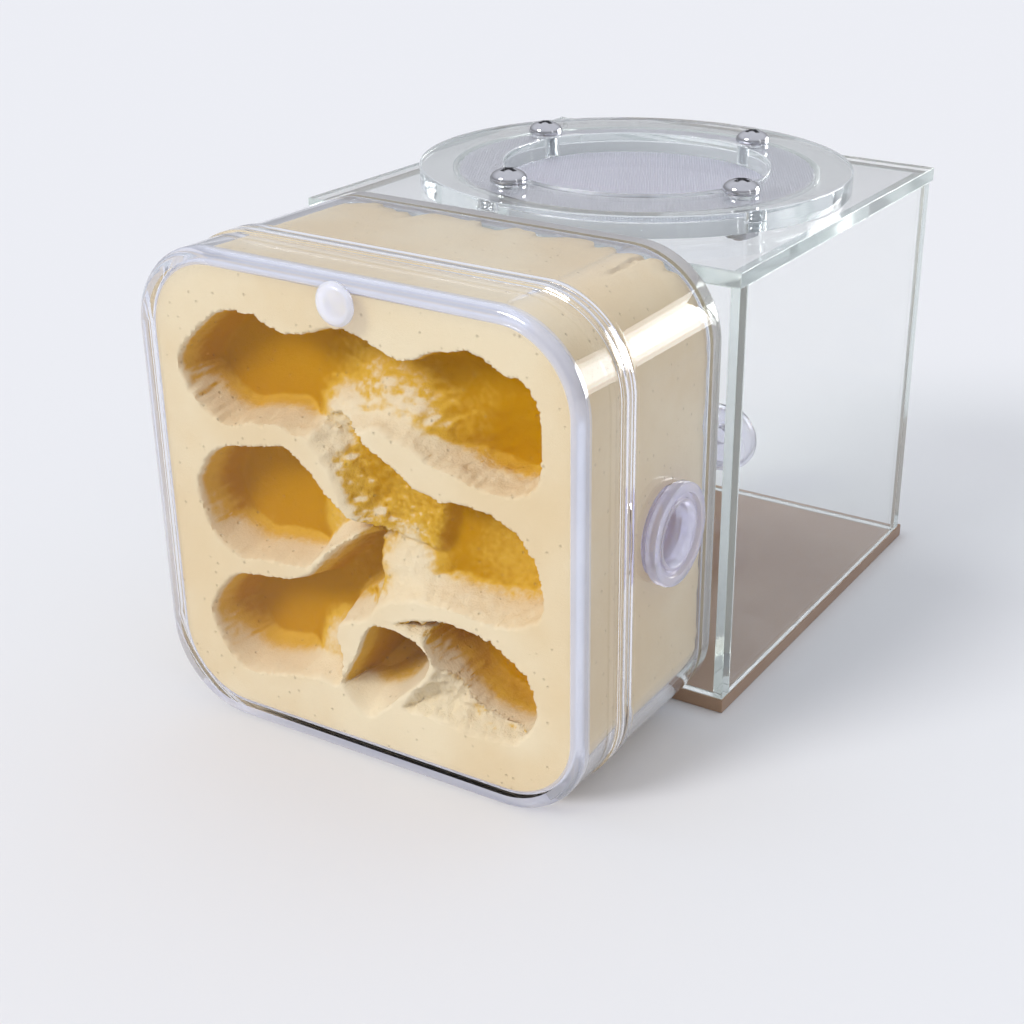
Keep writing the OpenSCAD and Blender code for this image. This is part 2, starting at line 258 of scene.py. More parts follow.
class Growth:
    """Builds one Geometry Nodes tree, runs it on an empty mesh and keeps the result."""

    def __init__(self, name: str) -> None:
        """Starts a tree.

        Args:
            name: The tree's name, also its piece's.
        """
        self.name = name
        self.tree = bpy.data.node_groups.new(name, "GeometryNodeTree")
        self.tree.interface.new_socket("Geometry", in_out="OUTPUT",
                                       socket_type="NodeSocketGeometry")
        self.start = self.tree.nodes.new("NodeGroupInput")
        self.values: dict[str, Any] = {}

    def size(self, name: str, value: Any) -> bpy.types.NodeSocket:
        """Adds a named input.

        Args:
            name: The input's name.
            value: Its value on the piece.

        Returns:
            The socket that gives it inside the tree.
        """
        kinds = {int: "NodeSocketInt", float: "NodeSocketFloat",
                 bpy.types.Material: "NodeSocketMaterial", bpy.types.Object: "NodeSocketObject"}
        kind = kinds[type(value)]
        item = self.tree.interface.new_socket(name, in_out="INPUT", socket_type=kind)
        self.values[item.identifier] = value
        return self.start.outputs[name]

    def node(self, kind: str, settings: dict | None = None, inputs: dict | None = None,
             output: int | str = 0) -> bpy.types.NodeSocket:
        """Adds a node; the arguments are those of add_node."""
        return add_node(self.tree, kind, settings, inputs, output)

    def maths(self, operation: str, first: Any, second: Any = 0.0) -> bpy.types.NodeSocket:
        """Adds a Math node."""
        return self.node("ShaderNodeMath", {"operation": operation}, {0: first, 1: second})

    def grow(self, geometry: bpy.types.NodeSocket, finish: bpy.types.NodeSocket
             ) -> bpy.types.Object:
        """Ends the tree, runs it and turns the result into a plain mesh.

        Args:
            geometry: What the tree made.
            finish: The material's socket.

        Returns:
            The finished piece.
        """
        real = self.node("GeometryNodeRealizeInstances", None, {0: geometry})
        dressed = self.node("GeometryNodeSetMaterial", None, {"Geometry": real, "Material": finish})
        end = self.tree.nodes.new("NodeGroupOutput")
        self.tree.links.new(dressed, end.inputs[0])
        piece = shown(self.name, bpy.data.meshes.new(self.name))
        modifier = piece.modifiers.new("growth", "NODES")
        modifier.node_group = self.tree
        for identifier, value in self.values.items():
            modifier[identifier] = value
        return applied(piece)


# Finishes ---------------------------------------------------------------------------------


@dataclass(frozen=True)
class ClearSheet:
    """Polished face of clear sheet or moulded plastic."""

    name: str = "clear_sheet"
    tint: Triple = (0.985, 0.992, 0.988)
    passing: Triple = (0.96, 0.97, 0.965)
    ior: float = 1.49
    mirror: Triple = (0.5, 0.5, 0.52)
    ripple: float = 0.000004
    ripple_scale: float = 60.0

    def build(self) -> bpy.types.Material:
        """Builds the material."""
        recipe = Recipe(self.name)
        ripple = recipe.noise(self.ripple_scale, 1.0)
        shader = recipe.principled({
            "Base Color": self.tint, "Roughness": 0.0, "IOR": self.ior,
            "Specular Tint": self.mirror, "Transmission Weight": 1.0,
            "Normal": recipe.bump(ripple, self.ripple)})
        return recipe.done(recipe.let_light_through(shader, self.passing))


@dataclass(frozen=True)
class CutEdge:
    """Sawn and flame-polished edge of clear sheet: faintly frosted, with fine streaks."""

    name: str = "cut_edge"
    tint: Triple = (0.78, 0.85, 0.82)
    clear: float = 0.72
    passing: Triple = (0.86, 0.89, 0.88)
    roughness: Pair = (0.05, 0.22)
    streak_scale: float = 300.0
    streak_depth: float = 0.00002

    def build(self) -> bpy.types.Material:
        """Builds the material."""
        recipe = Recipe(self.name)
        streaks = recipe.noise(self.streak_scale, 4.0, 0.6)
        low, high = self.roughness
        shader = recipe.principled({
            "Base Color": self.tint, "Roughness": streaks * (high - low) + low,
            "IOR": 1.49, "Transmission Weight": self.clear,
            "Normal": recipe.bump(streaks, self.streak_depth)})
        return recipe.done(recipe.let_light_through(shader, self.passing))


@dataclass(frozen=True)
class MouldedLip:
    """Thick rounded rim of moulded plastic, with the light that gathers in it painted on as a milky
    lavender colour.
    """

    name: str = "moulded_lip"
    tint: Triple = (0.62, 0.65, 0.76)
    bright: Triple = (0.80, 0.82, 0.93)
    passing: Triple = (0.86, 0.87, 0.93)
    clear: float = 0.68
    coat_ior: float = 1.7
    swirls: float = 60.0
    drawn: Triple = (1.0, 1.0, 1.0)
    swirl_depth: float = 0.00003

    def build(self) -> bpy.types.Material:
        """Builds the material."""
        recipe = Recipe(self.name)
        flow = recipe.noise(self.swirls, 3.0, 0.5, self.drawn)
        shader = recipe.principled({
            "Base Color": recipe.mix(flow, self.tint, self.bright),
            "Roughness": flow * 0.08 + 0.02, "IOR": 1.5, "Transmission Weight": self.clear,
            "Coat Weight": flow.ramp(0.3, 0.6) * 0.3 + 0.7, "Coat IOR": self.coat_ior,
            "Normal": recipe.bump(flow, self.swirl_depth)})
        return recipe.done(recipe.let_light_through(shader, self.passing))


@dataclass(frozen=True)
class TanSheet:
    """Tan-bronze sheet with a polished face and hairline scratches."""

    colour: Triple = (0.34, 0.205, 0.125)
    dusty: Triple = (0.41, 0.275, 0.185)
    cloud_scale: float = 25.0
    scratch_scale: float = 900.0
    scratch_depth: float = 0.000004

    def build(self) -> bpy.types.Material:
        """Builds the material."""
        recipe = Recipe("tan_sheet")
        cloud = recipe.noise(self.cloud_scale, 4.0).ramp(0.35, 0.75)
        scratches = recipe.noise(self.scratch_scale, 2.0, 0.5, (1.0, 0.04, 1.0))
        shader = recipe.principled({
            "Base Color": recipe.mix(cloud, self.colour, self.dusty),
            "Roughness": cloud * 0.08 + 0.05, "Specular IOR Level": 0.3,
            "Normal": recipe.bump(scratches, self.scratch_depth)})
        return recipe.done(shader)


@dataclass(frozen=True)
class Silicone:
    """Translucent silicone, milky with a lavender cast."""

    name: str = "silicone"
    colour: Triple = (0.88, 0.88, 0.99)
    clear: float = 0.86
    passing: Triple = (0.78, 0.78, 0.85)
    mottle_scale: float = 450.0
    mottle_depth: float = 0.00001
    glow_reach: Triple = (0.003, 0.003, 0.004)

    def build(self) -> bpy.types.Material:
        """Builds the material."""
        recipe = Recipe(self.name)
        mottle = recipe.noise(self.mottle_scale, 2.0)
        shader = recipe.principled({
            "Base Color": self.colour, "Roughness": mottle * 0.12 + 0.06, "IOR": 1.41,
            "Transmission Weight": self.clear, "Subsurface Weight": 0.6,
            "Subsurface Radius": self.glow_reach, "Subsurface Scale": 1.0,
            "Normal": recipe.bump(mottle, self.mottle_depth)})
        return recipe.done(recipe.let_light_through(shader, self.passing))


@dataclass(frozen=True)
class Steel:
    """Plated or stainless steel; faces marked as a recess are painted near black as their shade."""

    name: str
    colour: Triple
    roughness: Pair
    grain: float = 700.0
    grain_depth: float = 0.000003
    worn: float = 0.86
    recess_painted_shade: Triple = (0.05, 0.05, 0.055)

    def build(self) -> bpy.types.Material:
        """Builds the material."""
        recipe = Recipe(self.name)
        grain = recipe.noise(self.grain, 3.0)
        dark = recipe.written("recess")
        low, high = self.roughness
        shade = recipe.mix(grain, self.colour, tuple(c * self.worn for c in self.colour))
        # Painted shade: faces marked as a recess turn near black.
        shade = recipe.mix(dark, shade, self.recess_painted_shade)
        shader = recipe.principled({
            "Base Color": shade, "Metallic": 1.0,
            "Roughness": grain * (high - low) + low + dark * 0.3,
            "Normal": recipe.bump(grain, self.grain_depth)})
        return recipe.done(shader)


@dataclass(frozen=True)
class Gypsum:
    """Cast gypsum: chalky cream outside; ochre where the galleries are deep, partly real staining
    and partly painted shade, darkest as brown.
    """

    cream: Triple = (0.79, 0.62, 0.36)
    pale: Triple = (0.85, 0.72, 0.47)
    ochre: Triple = (0.72, 0.425, 0.045)
    # Deepest colour: partly real staining, partly painted shade deep in the galleries.
    brown_and_shade: Triple = (0.53, 0.255, 0.0)
    pore: Triple = (0.34, 0.26, 0.14)
    cloud_scale: float = 35.0
    grain_scale: float = 900.0
    crumb_scale: float = 2600.0
    pore_scale: float = 420.0
    relief: float = 0.00014

    def build(self) -> bpy.types.Material:
        """Builds the material."""
        recipe = Recipe("gypsum")
        stain_and_shade, rough = recipe.written("stain_and_shade"), recipe.written("rough")
        cloud = recipe.noise(self.cloud_scale, 4.0).ramp(0.3, 0.7)
        grain = recipe.noise(self.grain_scale, 5.0, 0.65)
        crumb = recipe.noise(self.crumb_scale, 3.0, 0.6)
        pores = recipe.node("ShaderNodeTexVoronoi", {"feature": "F1"},
                            {"Vector": recipe.place(), "Scale": self.pore_scale,
                             "Randomness": 1.0})
        pore_mask = 1.0 - pores.ramp(0.04, 0.16)
        outside = recipe.mix(cloud, self.cream, self.pale)
        mottle = (grain - 0.5) * (rough * 2.2 + 0.35) + (cloud - 0.5) * 0.2
        # The written attribute is partly real ochre staining and partly painted light and shade;
        # its top end turns brown as painted shade.
        mottled_stain_and_shade = stain_and_shade + mottle * stain_and_shade.ramp(0.05, 0.4)
        first = recipe.mix(mottled_stain_and_shade.ramp(0.05, 0.6), outside, self.ochre)
        colour = recipe.mix(mottled_stain_and_shade.ramp(0.55, 1.1), first, self.brown_and_shade)
        # The pores are painted darker: painted shade in the small holes.
        speckled = recipe.mix(pore_mask * 0.3, colour, self.pore)
        height = (grain + crumb * 0.45) * (rough * 4.5 + 0.7) + cloud * 0.6 - pore_mask
        shader = recipe.principled({
            "Base Color": speckled, "Roughness": grain * 0.15 + 0.8, "Specular IOR Level": 0.0,
            "Normal": recipe.bump(height, self.relief)})
        return recipe.done(shader)


@dataclass(frozen=True)
class Floor:
    """Plain pale floor."""

    colour: Triple = (0.78, 0.78, 0.79)

    def build(self) -> bpy.types.Material:
        """Builds the material."""
        recipe = Recipe("studio_floor")
        return recipe.done(recipe.principled({
            "Base Color": self.colour, "Roughness": 0.9, "Specular IOR Level": 0.0}))


# Shapes -----------------------------------------------------------------------------------


class Axis(Enum):
    """The direction that a piece is turned or extruded along."""

    X = "x"
    Y = "y"
    Z = "z"

    def point(self, u: float, v: float, h: float) -> Vector:
        """Places a point of the outline's plane at a height along the axis.

        Args:
            u: First coordinate across the axis, in mm.
            v: Second coordinate across the axis, in mm.
            h: Distance along the axis, in mm.

        Returns:
            The point, in metres.
        """
        if self is Axis.X:
            return Vector((h, u, v)) * MM
        if self is Axis.Y:
            return Vector((u, h, v)) * MM
        return Vector((u, v, h)) * MM


def circle(u: float, v: float, radius: float, count: int = 64) -> Loop:
    """Gives a circle's points."""
    steps = (2 * math.pi * i / count for i in range(count))
    return [(u + radius * math.cos(a), v + radius * math.sin(a)) for a in steps]


def rectangle(u0: float, u1: float, v0: float, v1: float) -> Loop:
    """Gives a rectangle's corners."""
    return [(u0, v0), (u1, v0), (u1, v1), (u0, v1)]


def rounded(u: float, v: float, width: float, height: float, radius: float, steps: int = 20
            ) -> Loop:
    """Gives a rounded rectangle's points.

    Args:
        u: Its middle's first coordinate.
        v: Its middle's second coordinate.
        width: Size along u.
        height: Size along v.
        radius: Corner radius.
        steps: Spans per corner.

    Returns:
        The loop, anticlockwise.
    """
    corners = ((1, 1, 0), (-1, 1, 90), (-1, -1, 180), (1, -1, 270))
    points: Loop = []
    for su, sv, start in corners:
        cu = u + su * (width / 2 - radius)
        cv = v + sv * (height / 2 - radius)
        for i in range(steps + 1):
            a = math.radians(start + 90 * i / steps)
            points.append((cu + radius * math.cos(a), cv + radius * math.sin(a)))
    return points


def ring(bm: bmesh.types.BMesh, axis: Axis, loop: Loop, height: float) -> list:
    """Adds a loop's vertices at a height."""
    return [bm.verts.new(axis.point(u, v, height)) for u, v in loop]


def skin(bm: bmesh.types.BMesh, rows: Sequence[list]) -> None:
    """Joins each row of vertices to the next one with quads.

    Args:
        bm: The mesh being built.
        rows: The closed rows of vertices, all with the same count.
    """
    for lower, upper in zip(rows, rows[1:]):
        count = len(lower)
        for i in range(count):
            j = (i + 1) % count
            bm.faces.new((lower[i], lower[j], upper[j], upper[i]))


def fill(bm: bmesh.types.BMesh, loops: Sequence[list]) -> None:
    """Fills the flat face between an outer loop and the holes in it.

    Args:
        bm: The mesh being built.
        loops: The rings of vertices, the outline first and its holes after it.
    """
    edges = []
    for row in loops:
        for a, b in zip(row, row[1:] + row[:1]):
            edges.append(bm.edges.get((a, b)) or bm.edges.new((a, b)))
    bmesh.ops.triangle_fill(bm, use_beauty=True, use_dissolve=False, edges=edges)


def shown(name: str, data: bpy.types.ID) -> bpy.types.Object:
    """Adds an object with its data to the scene.

    Args:
        name: The object's name.
        data: Its mesh, camera or light.

    Returns:
        The object.
    """
    item = bpy.data.objects.new(name, data)
    bpy.context.scene.collection.objects.link(item)
    return item


def applied(piece: bpy.types.Object) -> bpy.types.Object:
    """Replaces a piece's mesh by what its modifiers make of it, and takes them off.

    Args:
        piece: The piece.

    Returns:
        The same piece, without modifiers.
    """
    bpy.context.view_layer.update()
    evaluated = piece.evaluated_get(bpy.context.evaluated_depsgraph_get())
    made = bpy.data.meshes.new_from_object(evaluated)
    piece.modifiers.clear()
    piece.data = made
    return piece


def flattened(piece: bpy.types.Object) -> bpy.types.Object:
    """Gives large flat faces their true normals, so that the smoothing stays in the edges.

    Args:
        piece: The piece.

    Returns:
        The same piece.
    """
    modifier = piece.modifiers.new("normals", "WEIGHTED_NORMAL")
    modifier.weight = 100
    modifier.keep_sharp = True
    return applied(piece)


def finished(name: str, bm: bmesh.types.BMesh, materials: Sequence[bpy.types.Material],
             sharp: float = 32.0) -> bpy.types.Object:
    """Turns a bmesh into a piece with its faces outwards and its sharp edges marked.

    Args:
        name: The piece's name.
        bm: The mesh, which is freed.
        materials: The piece's materials.
        sharp: Edges that turn more than this many degrees stay crisp.

    Returns:
        The piece.
    """
    bmesh.ops.remove_doubles(bm, verts=bm.verts, dist=SAME_PLACE)
    bmesh.ops.recalc_face_normals(bm, faces=bm.faces)
    mesh = bpy.data.meshes.new(name)
    bm.to_mesh(mesh)
    bm.free()
    mesh.shade_smooth()
    mesh.set_sharp_from_angle(angle=math.radians(sharp))
    for material in materials:
        mesh.materials.append(material)
    return shown(name, mesh)


def slab(name: str, axis: Axis, outline: Loop, holes: Sequence[Loop], low: float, high: float,
         chamfer: float, face: bpy.types.Material, edge: bpy.types.Material) -> bpy.types.Object:
    """Makes a flat sheet with holes, chamfered rims, and its edges dressed apart.

    Args:
        name: The piece's name.
        axis: The direction of its thickness.
        outline: Its outer loop, in mm.
        holes: Its holes' loops, in mm.
        low: Its lower face, in mm.
        high: Its upper face, in mm.
        chamfer: Width of the rims' chamfer, in mm.
        face: Material of the two faces.
        edge: Material of the edges.

    Returns:
        The piece.
    """
    bm = bmesh.new()
    lower = [ring(bm, axis, loop, low) for loop in (outline, *holes)]
    upper = [ring(bm, axis, loop, high) for loop in (outline, *holes)]
    for a, b in zip(lower, upper):
        skin(bm, (a, b))
    fill(bm, lower)
    fill(bm, upper)
    bmesh.ops.recalc_face_normals(bm, faces=bm.faces)
    rims = [e for e in bm.edges if e.calc_face_angle(0.0) > SQUARE_EDGE]
    bmesh.ops.bevel(bm, geom=rims, offset=chamfer * MM, segments=2, profile=0.5, affect="EDGES",
                    clamp_overlap=True)
    along = axis.point(0, 0, 1).normalized()
    for item in bm.faces:
        item.normal_update()
        item.material_index = 0 if abs(item.normal.dot(along)) > FLAT else 1
    return flattened(finished(name, bm, (face, edge)))


def turned(name: str, axis: Axis, centre: Pair, profile: Loop,
           material: bpy.types.Material, count: int = 72, sharp: float = 32.0
           ) -> bpy.types.Object:
    """Makes a turned piece.

    Args:
        name: The piece's name.
        axis: The axis it is turned about.
        centre: Where the axis stands, across it, in mm.
        profile: Radius and height of each point; closed, unless it starts and ends at 0 radius.
        material: Its material.
        count: Steps round the axis.
        sharp: Edges that turn more than this many degrees stay crisp.

    Returns:
        The piece.
    """
    bm = bmesh.new()
    closed = profile[0][0] > 0
    rows = []
    for radius, height in profile:
        if radius > 0:
            rows.append(ring(bm, axis, circle(*centre, radius, count), height))
        else:
            rows.append([bm.verts.new(axis.point(*centre, height))])
    if closed:
        rows.append(rows[0])
    for lower, upper in zip(rows, rows[1:]):
        for i in range(count):
            j = (i + 1) % count
            corners = [lower[i % len(lower)], lower[j % len(lower)],
                       upper[j % len(upper)], upper[i % len(upper)]]
            bm.faces.new(tuple(dict.fromkeys(corners)))
    return finished(name, bm, (material,), sharp)


def cut(piece: bpy.types.Object, tools: Sequence[bpy.types.Object]) -> None:
    """Cuts the tools out of a piece and deletes them.

    Args:
        piece: The piece that is cut.
        tools: The bodies to cut away, which are gone afterwards.
    """
    for tool in tools:
        modifier = piece.modifiers.new("cut", "BOOLEAN")
        modifier.operation = "DIFFERENCE"
        modifier.solver = "EXACT"
        modifier.object = tool
    applied(piece)
    for tool in tools:
        bpy.data.objects.remove(tool)


def mend(mesh: bpy.types.Mesh, near: float = 2e-6) -> None:
    """Closes the slits that a cut leaves between nearly equal vertices.

    Args:
        mesh: The mesh.
        near: Points closer than this are joined, in metres.
    """
    bm = bmesh.new()
    bm.from_mesh(mesh)
    bmesh.ops.remove_doubles(bm, verts=bm.verts, dist=near)
    bmesh.ops.dissolve_degenerate(bm, edges=bm.edges, dist=near / 2)
    crowded = {f for e in bm.edges if len(e.link_faces) > 2 for f in e.link_faces}
    bmesh.ops.delete(bm, geom=list(crowded), context="FACES")
    for _ in range(3):
        open_edges = [e for e in bm.edges if len(e.link_faces) == 1]
        bmesh.ops.holes_fill(bm, edges=open_edges, sides=0)
    loose = [v for v in bm.verts if not v.link_faces]
    bmesh.ops.delete(bm, geom=loose, context="VERTS")
    bmesh.ops.triangulate(bm, faces=[f for f in bm.faces if len(f.verts) > 4])
    bm.to_mesh(mesh)
    bm.free()


def place_of(node: str) -> tuple[np.ndarray, np.ndarray]:
    """Gives a CAD node's lowest and highest corner, in mm."""
    low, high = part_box(node)
    return np.array(low) / MM, np.array(high) / MM


def middle_of(node: str) -> Triple:
    """Gives the middle of a CAD node, in mm."""
    low, high = place_of(node)
    return tuple((low + high) / 2)


def dome(radius: float, steps: int) -> Loop:
    """Gives how far out and how far down from its crown each step of a quarter circle lies."""
    turns = (math.radians(90 * i / steps) for i in range(1, steps + 1))
    return [(radius * math.sin(a), 1 - math.cos(a)) for a in turns]


def adopt(piece: bpy.types.Object, node: str) -> bpy.types.Object:
    """Makes a piece stand for a CAD node and ride on the node's body.

    Args:
        piece: The finished piece.
        node: The CAD node.

    Returns:
        The piece.
    """
    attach(piece, frame["nodes"][node]["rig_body"])
    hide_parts(node)
    LOG.info("%s: %d faces, stands for %s", piece.name, len(piece.data.polygons), node)
    return piece


# Arena ------------------------------------------------------------------------------------


@dataclass
class Arena:
    """Clear sheet box on a tan base, with its grommet and back stopper."""

    chamfer: float = 0.22
    joint: float = 0.03
    port_height: float = 18.5
    port_radius: float = 7.0
    bore: float = 5.8
    flange_radius: float = 9.0
    lip_width: float = 1.4
    stopper_rim: float = 1.5
    opening_radius: float = 39.5
    seat: float = 0.05

    def __post_init__(self) -> None:
        """Builds the finishes and finds the ports."""
        self.sheet = ClearSheet().build()
        self.edge = CutEdge().build()
        self.silicone = Silicone().build()
        self.port = (middle_of("front_wall")[0], self.port_height)

    def build(self) -> None:
        """Builds every piece of the arena."""
        self.base()
        self.cross_walls()
        self.side_walls()
        self.top()
        self.grommet()
        self.stopper()

    def base(self) -> None:
        """Builds the base plate."""
        low, high = place_of("base_plate")
        tan = TanSheet().build()
        outline = rectangle(low[0], high[0], low[1], high[1])
        piece = slab("arena_base", Axis.Z, outline, (), low[2], high[2], self.chamfer, tan, tan)
        adopt(piece, "base_plate")

    def cross_walls(self) -> None:
        """Builds the front and back walls, each with its port."""
        port = circle(*self.port, self.port_radius)
        for node in ("front_wall", "back_wall"):
            low, high = place_of(node)
            outline = rectangle(low[0], high[0], low[2] + self.joint, high[2] - self.joint)
            self.sheet_piece(f"arena_{node}", node, Axis.Y, outline, (port,))

    def side_walls(self) -> None:
        """Builds the side walls, which stand between the other two."""
        for node in ("left_wall", "right_wall"):
            low, high = place_of(node)
            outline = rectangle(low[1] + self.joint, high[1] - self.joint, low[2] + self.joint,
                                high[2] - self.joint)
            self.sheet_piece(f"arena_{node}", node, Axis.X, outline, ())

    def top(self) -> None:
        """Builds the top plate round the lid's opening."""
        low, high = place_of("top_plate")
        outline = rectangle(low[0], high[0], low[1], high[1])
        opening = circle(0, 0, self.opening_radius, 144)
        self.sheet_piece("arena_top", "top_plate", Axis.Z, outline, (opening,))

    def sheet_piece(self, name: str, node: str, axis: Axis, outline: Loop,
                    holes: Sequence[Loop]) -> None:
        """Builds one piece of clear sheet as thick as its CAD node.

        Args:
            name: The piece's name.
            node: The CAD node.
            axis: The direction of its thickness.
            outline: Its outer loop, in mm.
            holes: Its holes' loops, in mm.
        """
        (low, high), across = place_of(node), list(Axis).index(axis)
        piece = slab(name, axis, outline, holes, low[across], high[across], self.chamfer,
                     self.sheet, self.edge)
        adopt(piece, node)

    def grommet(self) -> None:
        """Builds the soft sleeve round the link."""
        low, high = place_of("arena_grommet")
        wall = place_of("front_wall")
        outer, inner = wall[0][1] - self.seat, wall[1][1] + self.seat
        lip, neck = self.port_radius + self.lip_width, self.port_radius - 0.08
        flange = self.flange_radius
        profile = [(self.bore, low[1]), (lip - 0.2, low[1]), (lip, low[1] + 0.2), (lip, outer),
                   (neck, outer), (neck, inner), (flange, inner), (flange, inner + 0.95),
                   (flange - 0.4, inner + 1.55), (flange - 1.4, high[1]),
                   (self.bore + 0.5, high[1]), (self.bore, high[1] - 0.4)]
        piece = turned("arena_grommet_soft", Axis.Y, self.port, profile, self.silicone)
        adopt(piece, "arena_grommet")

    def stopper(self) -> None:
        """Builds the domed stopper of the back port, seen from inside the arena."""
        low, high = place_of("back_plug")
        inner = place_of("back_wall")[0][1] - self.seat
        shank, flange = self.port_radius - 0.3, self.flange_radius
        rise = inner - self.stopper_rim - low[1]
        profile = [(0.0, low[1])]
        profile += [(r, low[1] + rise * drop) for r, drop in dome(flange - 0.6, 8)]
        profile += [(flange, inner - self.stopper_rim + 0.4), (flange, inner - 0.3),
                    (flange - 0.3, inner), (shank, inner), (shank, high[1] - 0.5),
                    (shank - 0.5, high[1]), (2.4, high[1]), (2.0, high[1] - 2.0),
                    (0.0, high[1] - 2.2)]
        piece = turned("back_stopper_soft", Axis.Y, self.port, profile, self.silicone)
        adopt(piece, "back_plug")


# Lid --------------------------------------------------------------------------------------


@dataclass
class Lid:
    """Clear ring with a woven disc, a locating ring, and screws with nuts."""

    vent_radius: float = 28.75
    locator_radius: float = 38.7
    ring_radius: float = 46.75
    chamfer: float = 0.3
    ring_gap: float = 0.04
    screws: int = 4
    screw_circle: float = 33.72
    screw_turn: float = -22.0
    hole_radius: float = 2.15
    shank_radius: float = 2.0
    pitch: float = 0.7
    head_radius: float = 3.85
    head_edge: float = 0.3
    recess: Pair = (4.7, 1.24)
    recess_floor: Pair = (2.4, 0.744)
    nut_flats: float = 7.0
    nut_chamfer: float = 0.25
    spin_seeds: tuple[int, int] = (3, 8)
    most_spin: float = 1.5
    wire_pitch: float = 0.56
    wire_radius: float = 0.10
    wire_wave: float = 0.11
    wire_turn: float = 28.5

    def __post_init__(self) -> None:
        """Builds the finishes."""
        self.sheet = ClearSheet("clear_ring").build()
        self.edge = CutEdge("ring_edge", (0.84, 0.88, 0.89), 0.85, roughness=(0.01, 0.08)).build()
        self.bright = Steel("screw_steel", (0.62, 0.62, 0.65), (0.04, 0.1)).build()
        self.plain = Steel("nut_steel", (0.44, 0.44, 0.46), (0.15, 0.3)).build()
        self.wire = Steel("wire_steel", (0.82, 0.82, 0.90), (0.3, 0.45), 2500.0).build()

    def build(self) -> None:
        """Builds every piece of the lid."""
        self.rings()
        self.mesh()
        self.screws_and_nuts()

    def holes(self) -> list[Loop]:
        """Gives the loops of the vent and the screw holes."""
        loops = [circle(0, 0, self.vent_radius, 144)]
        for i in range(self.screws):
            a = math.radians(self.screw_turn + 360 * i / self.screws)
            loops.append(circle(self.screw_circle * math.cos(a), self.screw_circle * math.sin(a),
                                self.hole_radius, 32))
        return loops

    def rings(self) -> None:
        """Builds the lid's ring and its locating ring."""
        for node, radius, lift in (("lid_ring", self.ring_radius, self.ring_gap),
                                   ("lid_locating_ring", self.locator_radius, 0.0)):
            low, high = place_of(node)
            piece = slab(f"{node}_clear", Axis.Z, circle(0, 0, radius, 180), self.holes(),
                         low[2] + lift, high[2], self.chamfer, self.sheet, self.edge)
            adopt(piece, node)

    def weave(self, name: str, turn: float, phase: float, level: float) -> bpy.types.Object:
        """Grows one set of parallel wires of the woven disc.

        Args:
            name: The piece's name.
            turn: Turn of the wires about Z, in degrees.
            phase: 0 or 1, so that the two sets pass over and under each other.
            level: Height of the disc's middle, in mm.

        Returns:
            The wires.
        """
        tree = Growth(name)
        count = int(2 * self.locator_radius / self.wire_pitch)
        half = self.wire_pitch * (count - 1) / 2 * MM
        pitch = tree.size("Wire pitch", self.wire_pitch * MM)
        number = tree.size("Wires", count)
        start = tree.size("Half width", half)
        wave = tree.size("Wave", self.wire_wave * MM)
        radius = tree.size("Wire radius", self.wire_radius * MM)
        disc = tree.size("Disc radius", (self.locator_radius - 0.3) * MM)
        finish = tree.size("Finish", self.wire)
        corner = tree.maths("MULTIPLY", start, -1.0)
        along = tree.node("ShaderNodeCombineXYZ", None, {0: pitch})
        across = tree.node("ShaderNodeCombineXYZ", None, {1: pitch})
        head = tree.node("ShaderNodeCombineXYZ", None, {0: corner})
        side = tree.node("ShaderNodeCombineXYZ", None, {1: corner})
        wire = tree.node("GeometryNodeMeshLine", None,
                         {"Count": number, "Start Location": head, "Offset": along})
        rows = tree.node("GeometryNodeMeshLine", None,
                         {"Count": number, "Start Location": side, "Offset": across})
        copies = tree.node("GeometryNodeInstanceOnPoints", None, {"Points": rows, "Instance": wire})
        real = tree.node("GeometryNodeRealizeInstances", None, {0: copies})
        index = tree.node("GeometryNodeInputIndex")
        row = tree.maths("FLOOR", tree.maths("DIVIDE", index, number))
        parity = tree.maths("ADD", tree.maths("ADD", index, tree.maths("MULTIPLY", row, number)),
                            tree.maths("ADD", row, phase))
        sign = tree.maths("SUBTRACT", tree.maths("MULTIPLY", tree.maths("MODULO", parity, 2.0),
                                                 2.0), 1.0)
        lift = tree.node("ShaderNodeCombineXYZ", None, {2: tree.maths("MULTIPLY", sign, wave)})
        waved = tree.node("GeometryNodeSetPosition", None, {"Geometry": real, "Offset": lift})
        spot = tree.node("GeometryNodeInputPosition")
        reach = tree.node("ShaderNodeVectorMath", {"operation": "LENGTH"}, {0: spot}, "Value")
        outside = tree.node("FunctionNodeCompare", {"data_type": "FLOAT",
                                                    "operation": "GREATER_THAN"},
                            {0: reach, 1: disc})
        disc_only = tree.node("GeometryNodeDeleteGeometry", {"domain": "POINT"},
                              {"Geometry": waved, "Selection": outside})
        paths = tree.node("GeometryNodeMeshToCurve", None, {0: disc_only})
        profile = tree.node("GeometryNodeCurvePrimitiveCircle", {"mode": "RADIUS"},
                            {"Resolution": 4, "Radius": radius})
        wires = tree.node("GeometryNodeCurveToMesh", None,
                          {"Curve": paths, "Profile Curve": profile, "Fill Caps": True})
        placed = tree.node("GeometryNodeTransform", None,
                           {"Geometry": wires, "Translation": (0.0, 0.0, level * MM),
                            "Rotation": (0.0, 0.0, math.radians(turn))})
        return tree.grow(placed, finish)

    def mesh(self) -> None:
        """Grows the woven disc as two sets of wires."""
        level = middle_of("lid_mesh")[2]
        for phase, name in enumerate(("mesh_warp", "mesh_weft")):
            wires = self.weave(name, self.wire_turn + 90.0 * phase, float(phase), level)
            adopt(wires, "lid_mesh")

